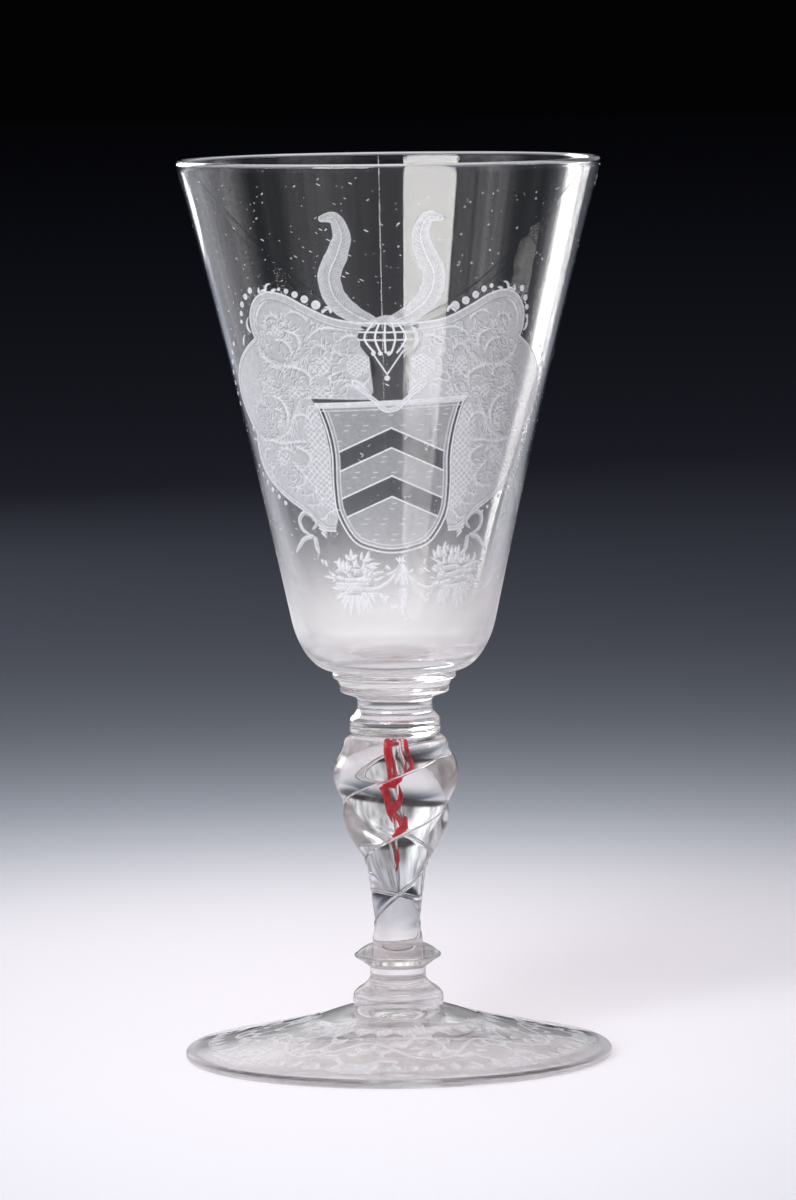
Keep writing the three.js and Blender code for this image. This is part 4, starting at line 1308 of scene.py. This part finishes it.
def engrave_foot():
    """A matt running scroll round the foot: a wavy stem with a leafy curl in each bend."""
    around = 2 * math.pi * FOOT_SCALE
    sheet = Sheet((-around / 2, 17.0), (around / 2, 44.0), around / 760)
    wave = around / SCROLLS_ROUND
    u = np.linspace(-around / 2, around / 2, 40 * SCROLLS_ROUND)
    sheet.stroke(np.stack([u, 31.5 + 4.6 * np.sin(np.pi * u / wave)], 1), 0.5, 0.44, 0.02)
    for k in range(SCROLLS_ROUND):
        way = 1 if k % 2 else -1
        centre = np.array([(k + 0.5) * wave - around / 2, 31.5 - way * 2.2])
        turn = np.linspace(0, 2.1 * math.pi, 32)
        reach = (5.4 * (1 - turn / (2.9 * math.pi)))[:, None]
        curl = centre - reach * np.stack([np.cos(way * turn), 1.25 * np.sin(way * turn)], 1)
        sheet.stroke(curl, 0.6, 0.44, 0.02, (0.05, 0.5))
        for i in range(0, 32, 4):
            out = math.degrees(math.atan2(*(curl[i] - centre)[::-1]))
            leaf = toward(curl[i], out + way * 55, 5.2 - 0.08 * i, -way * 90)
            sheet.leaf(leaf, 1.35 - 0.015 * i, 0.34, 0.6, 0.02)
        for lean, size in ((48, 5.6), (76, 6.6), (104, 6.6), (132, 5.6)):
            tip = toward(centre - (0, 6.6 * way), -way * lean, size, 30)
            sheet.leaf(tip, 1.3, 0.36, 0.56, 0.02)
    for k in range(6 * SCROLLS_ROUND):
        u, lean = k * wave / 6 - around / 2, 24 * (k % 3 - 1)
        sheet.leaf(toward((u, 42.2), lean - 90, 4.2 - k % 2, 20), 1.0, 0.34, 0.56, 0.02)
        sheet.leaf(toward((u, 19.4), lean + 90, 3.4 + k % 2, 20), 1.0, 0.34, 0.56, 0.02)
    for v in (19.2, 42.4):
        sheet.stroke([(-around / 2, v), (0, v), (around / 2, v)], 0.2, 0.34, 0.02)
    lay_skin("foot_engraving", sheet, on_foot)


engrave_shield()
engrave_helmet()
engrave_plume("left_plume_engraving", -1, -0.9)
engrave_plume("right_plume_engraving", 1, -2.6)
engrave_mantling("right_mantling_engraving", 1, BEADS_RIGHT, 0.0)
engrave_mantling("left_mantling_engraving", -1, BEADS_LEFT, 0.09)
engrave_sprays()


# The stage

def make_floor():
    """A flat floor with a pool of light painted on it."""
    reach = 9.0
    corners = np.array([(-1, -1), (1, -1), (1, 1), (-1, 1)]) * reach
    mesh = bpy.data.meshes.new("floor")
    hair = 0.0001  # the floor lies this much under the foot, so that the two don't coincide
    mesh.from_pydata([(x, y, -hair) for x, y in corners], [], [(0, 1, 2, 3)])
    mesh.materials.append(floor_painted_light())
    floor = bpy.data.objects.new("floor", mesh)
    bpy.context.scene.collection.objects.link(floor)


def toward_sky(azimuth, elevation):
    """The direction to a place in the studio. Azimuth is counted from the camera's side, to the
    right, both in degrees."""
    a, e = math.radians(azimuth), math.radians(elevation)
    return np.array([math.sin(a) * math.cos(e), -math.cos(a) * math.cos(e), math.sin(e)])


def softbox(name, azimuth, elevation, distance, size, strength, spare=()):
    """A rectangular lamp that looks at the goblet. Its strength is the brightness of its face,
    where 1 is white, and the pieces it spares are flagged off from it."""
    lamp = bpy.data.lights.new(name, "AREA")
    lamp.shape = "RECTANGLE"
    lamp.size, lamp.size_y = size
    lamp.energy = strength * size[0] * size[1] * math.pi
    made = bpy.data.objects.new(name, lamp)
    made.location = np.array([0, 0, 0.11]) + distance * toward_sky(azimuth, elevation)
    made.rotation_euler = (math.pi / 2 - math.radians(elevation), 0, math.radians(azimuth))
    made.visible_camera = False
    bpy.context.scene.collection.objects.link(made)
    if spare:
        flag = bpy.data.collections.new(name + "_flag")
        for piece in spare:
            flag.objects.link(bpy.data.objects[piece])
        for held in flag.collection_objects:
            held.light_linking.link_state = "EXCLUDE"
        made.light_linking.receiver_collection = flag
    return made


def fill(*lamp):
    """A lamp that only matt surfaces get, so that the glass doesn't mirror it."""
    made = softbox(*lamp)
    made.visible_glossy = False
    made.visible_transmission = False


# Soft grey reflectors round the goblet: azimuth, elevation, half width in degrees and brightness
REFLECTORS = ((150, 9, 28, 0.32), (120, 14, 24, 0.6), (215, 11, 26, 0.9), (180, 38, 30, 0.6),
              (300, 12, 26, 1.0), (45, 14, 28, 0.4), (0, 90, 42, 0.5))
DIMMEST = 0.2  # the studio's brightness between them


def make_world():
    """The studio as the glass sees it, dark with soft grey reflectors above the level of the
    table, hung with cloth that falls in folds, and as matt things get it, a pale even fill."""
    world = bpy.data.worlds.new("studio")
    world.use_nodes = True
    tree = world.node_tree
    tree.nodes.clear()
    place = node(tree, "TexCoord").outputs["Object"]
    light = 0.0
    for azimuth, elevation, reach, brightness in REFLECTORS:
        toward = node(tree, "VectorMath", {0: place, 1: toward_sky(azimuth, elevation)},
                      operation="DOT_PRODUCT")
        lobe = node(tree, "MapRange", {
            "Value": toward.outputs["Value"], "From Min": math.cos(math.radians(reach)),
            "From Max": math.cos(math.radians(0.4 * reach)), "To Max": brightness},
            interpolation_type="SMOOTHSTEP")
        light = node(tree, "Math", {0: lobe.outputs[0], 1: light}, operation="ADD").outputs[0]
    height = node(tree, "SeparateXYZ", {0: place}).outputs["Z"]
    risen = node(tree, "MapRange", {"Value": height, "From Min": 0.03, "From Max": 0.09},
                 interpolation_type="SMOOTHSTEP")
    light = node(tree, "Math", {0: light, 1: DIMMEST}, operation="ADD").outputs[0]
    tall = node(tree, "VectorMath", {0: place, 1: (7.0, 7.0, 1.4)}, operation="MULTIPLY")
    folds = node(tree, "TexNoise", {"Vector": tall.outputs[0], "Scale": 1.0, "Detail": 2.0})
    folds = node(tree, "MapRange", {"Value": folds.outputs["Fac"], "From Min": 0.36,
                                    "From Max": 0.64, "To Min": 0.45, "To Max": 1.55})
    light = node(tree, "Math", {0: light, 1: folds.outputs[0]}, operation="MULTIPLY").outputs[0]
    light = node(tree, "Math", {0: light, 1: risen.outputs[0]}, operation="MULTIPLY").outputs[0]
    path = node(tree, "LightPath")
    glassy = node(tree, "Math", {0: path.outputs["Is Glossy Ray"],
                                 1: path.outputs["Is Transmission Ray"]}, operation="MAXIMUM")
    grey = node(tree, "Math", {0: light, 1: glassy.outputs[0]}, operation="MULTIPLY")
    seen = node(tree, "Math", {0: path.outputs["Is Camera Ray"], 1: glassy.outputs[0]},
                operation="MAXIMUM")
    colour = node(tree, "MixRGB", {"Fac": seen.outputs[0], "Color1": linear("7c7e84"),
                                   "Color2": linear("030304")})
    dim = node(tree, "Background", {"Color": colour.outputs[0], "Strength": 1.0})
    lit = node(tree, "Background", {"Color": linear("fbfbff"), "Strength": grey.outputs[0]})
    both = node(tree, "AddShader", {0: dim.outputs[0], 1: lit.outputs[0]})
    output = tree.nodes.new("ShaderNodeOutputWorld")
    tree.links.new(both.outputs[0], output.inputs["Surface"])
    bpy.context.scene.world = world


def make_camera():
    """The camera of the photograph: 1.53 m from the stem, 244 mm up, with a long lens."""
    camera = bpy.data.cameras.new("camera")
    camera.lens, camera.sensor_width = 208.0, 36.0
    camera.clip_end = 50
    made = bpy.data.objects.new("camera", camera)
    made.location = (0.0010, -1.532, 0.244)
    pitch, roll = math.radians(5.296), math.radians(-0.7)
    made.rotation_mode = "XYZ"
    turn = Matrix.Rotation(math.pi / 2 - pitch, 4, "X") @ Matrix.Rotation(roll, 4, "Z")
    made.rotation_euler = turn.to_euler("XYZ")
    bpy.context.scene.collection.objects.link(made)
    bpy.context.scene.camera = made


STEM = ("baluster_glass", "ruby_thread_glass", "lower_merese_glass", "base_knop_glass", "foot_glass")

engrave_foot()
make_seeds()
make_floor()
make_world()
softbox("key_softbox", -26.5, 28, 1.5, (0.78, 0.95), 8.6, STEM)
softbox("rear_softbox", -148, 16, 1.4, (0.6, 0.8), 5.6, STEM)
softbox("rear_halo", -148, 16, 1.41, (0.8, 0.8), 3.6, STEM)
softbox("top_softbox", -10, 82, 1.6, (1.1, 1.1), 0.6)
softbox("window_strip", 6, 28, 1.5, (0.016, 0.26), 6.0, STEM)
fill("front_fill", -16, 6, 1.5, (1.2, 0.5), 4.4)
fill("back_fill", 180, 50, 1.4, (1.2, 0.6), 0.9)
make_camera()

scene = bpy.context.scene
scene.view_settings.view_transform = "Standard"
scene.cycles.max_bounces = 32
scene.cycles.transmission_bounces = 32
scene.cycles.glossy_bounces = 16
scene.cycles.transparent_max_bounces = 48
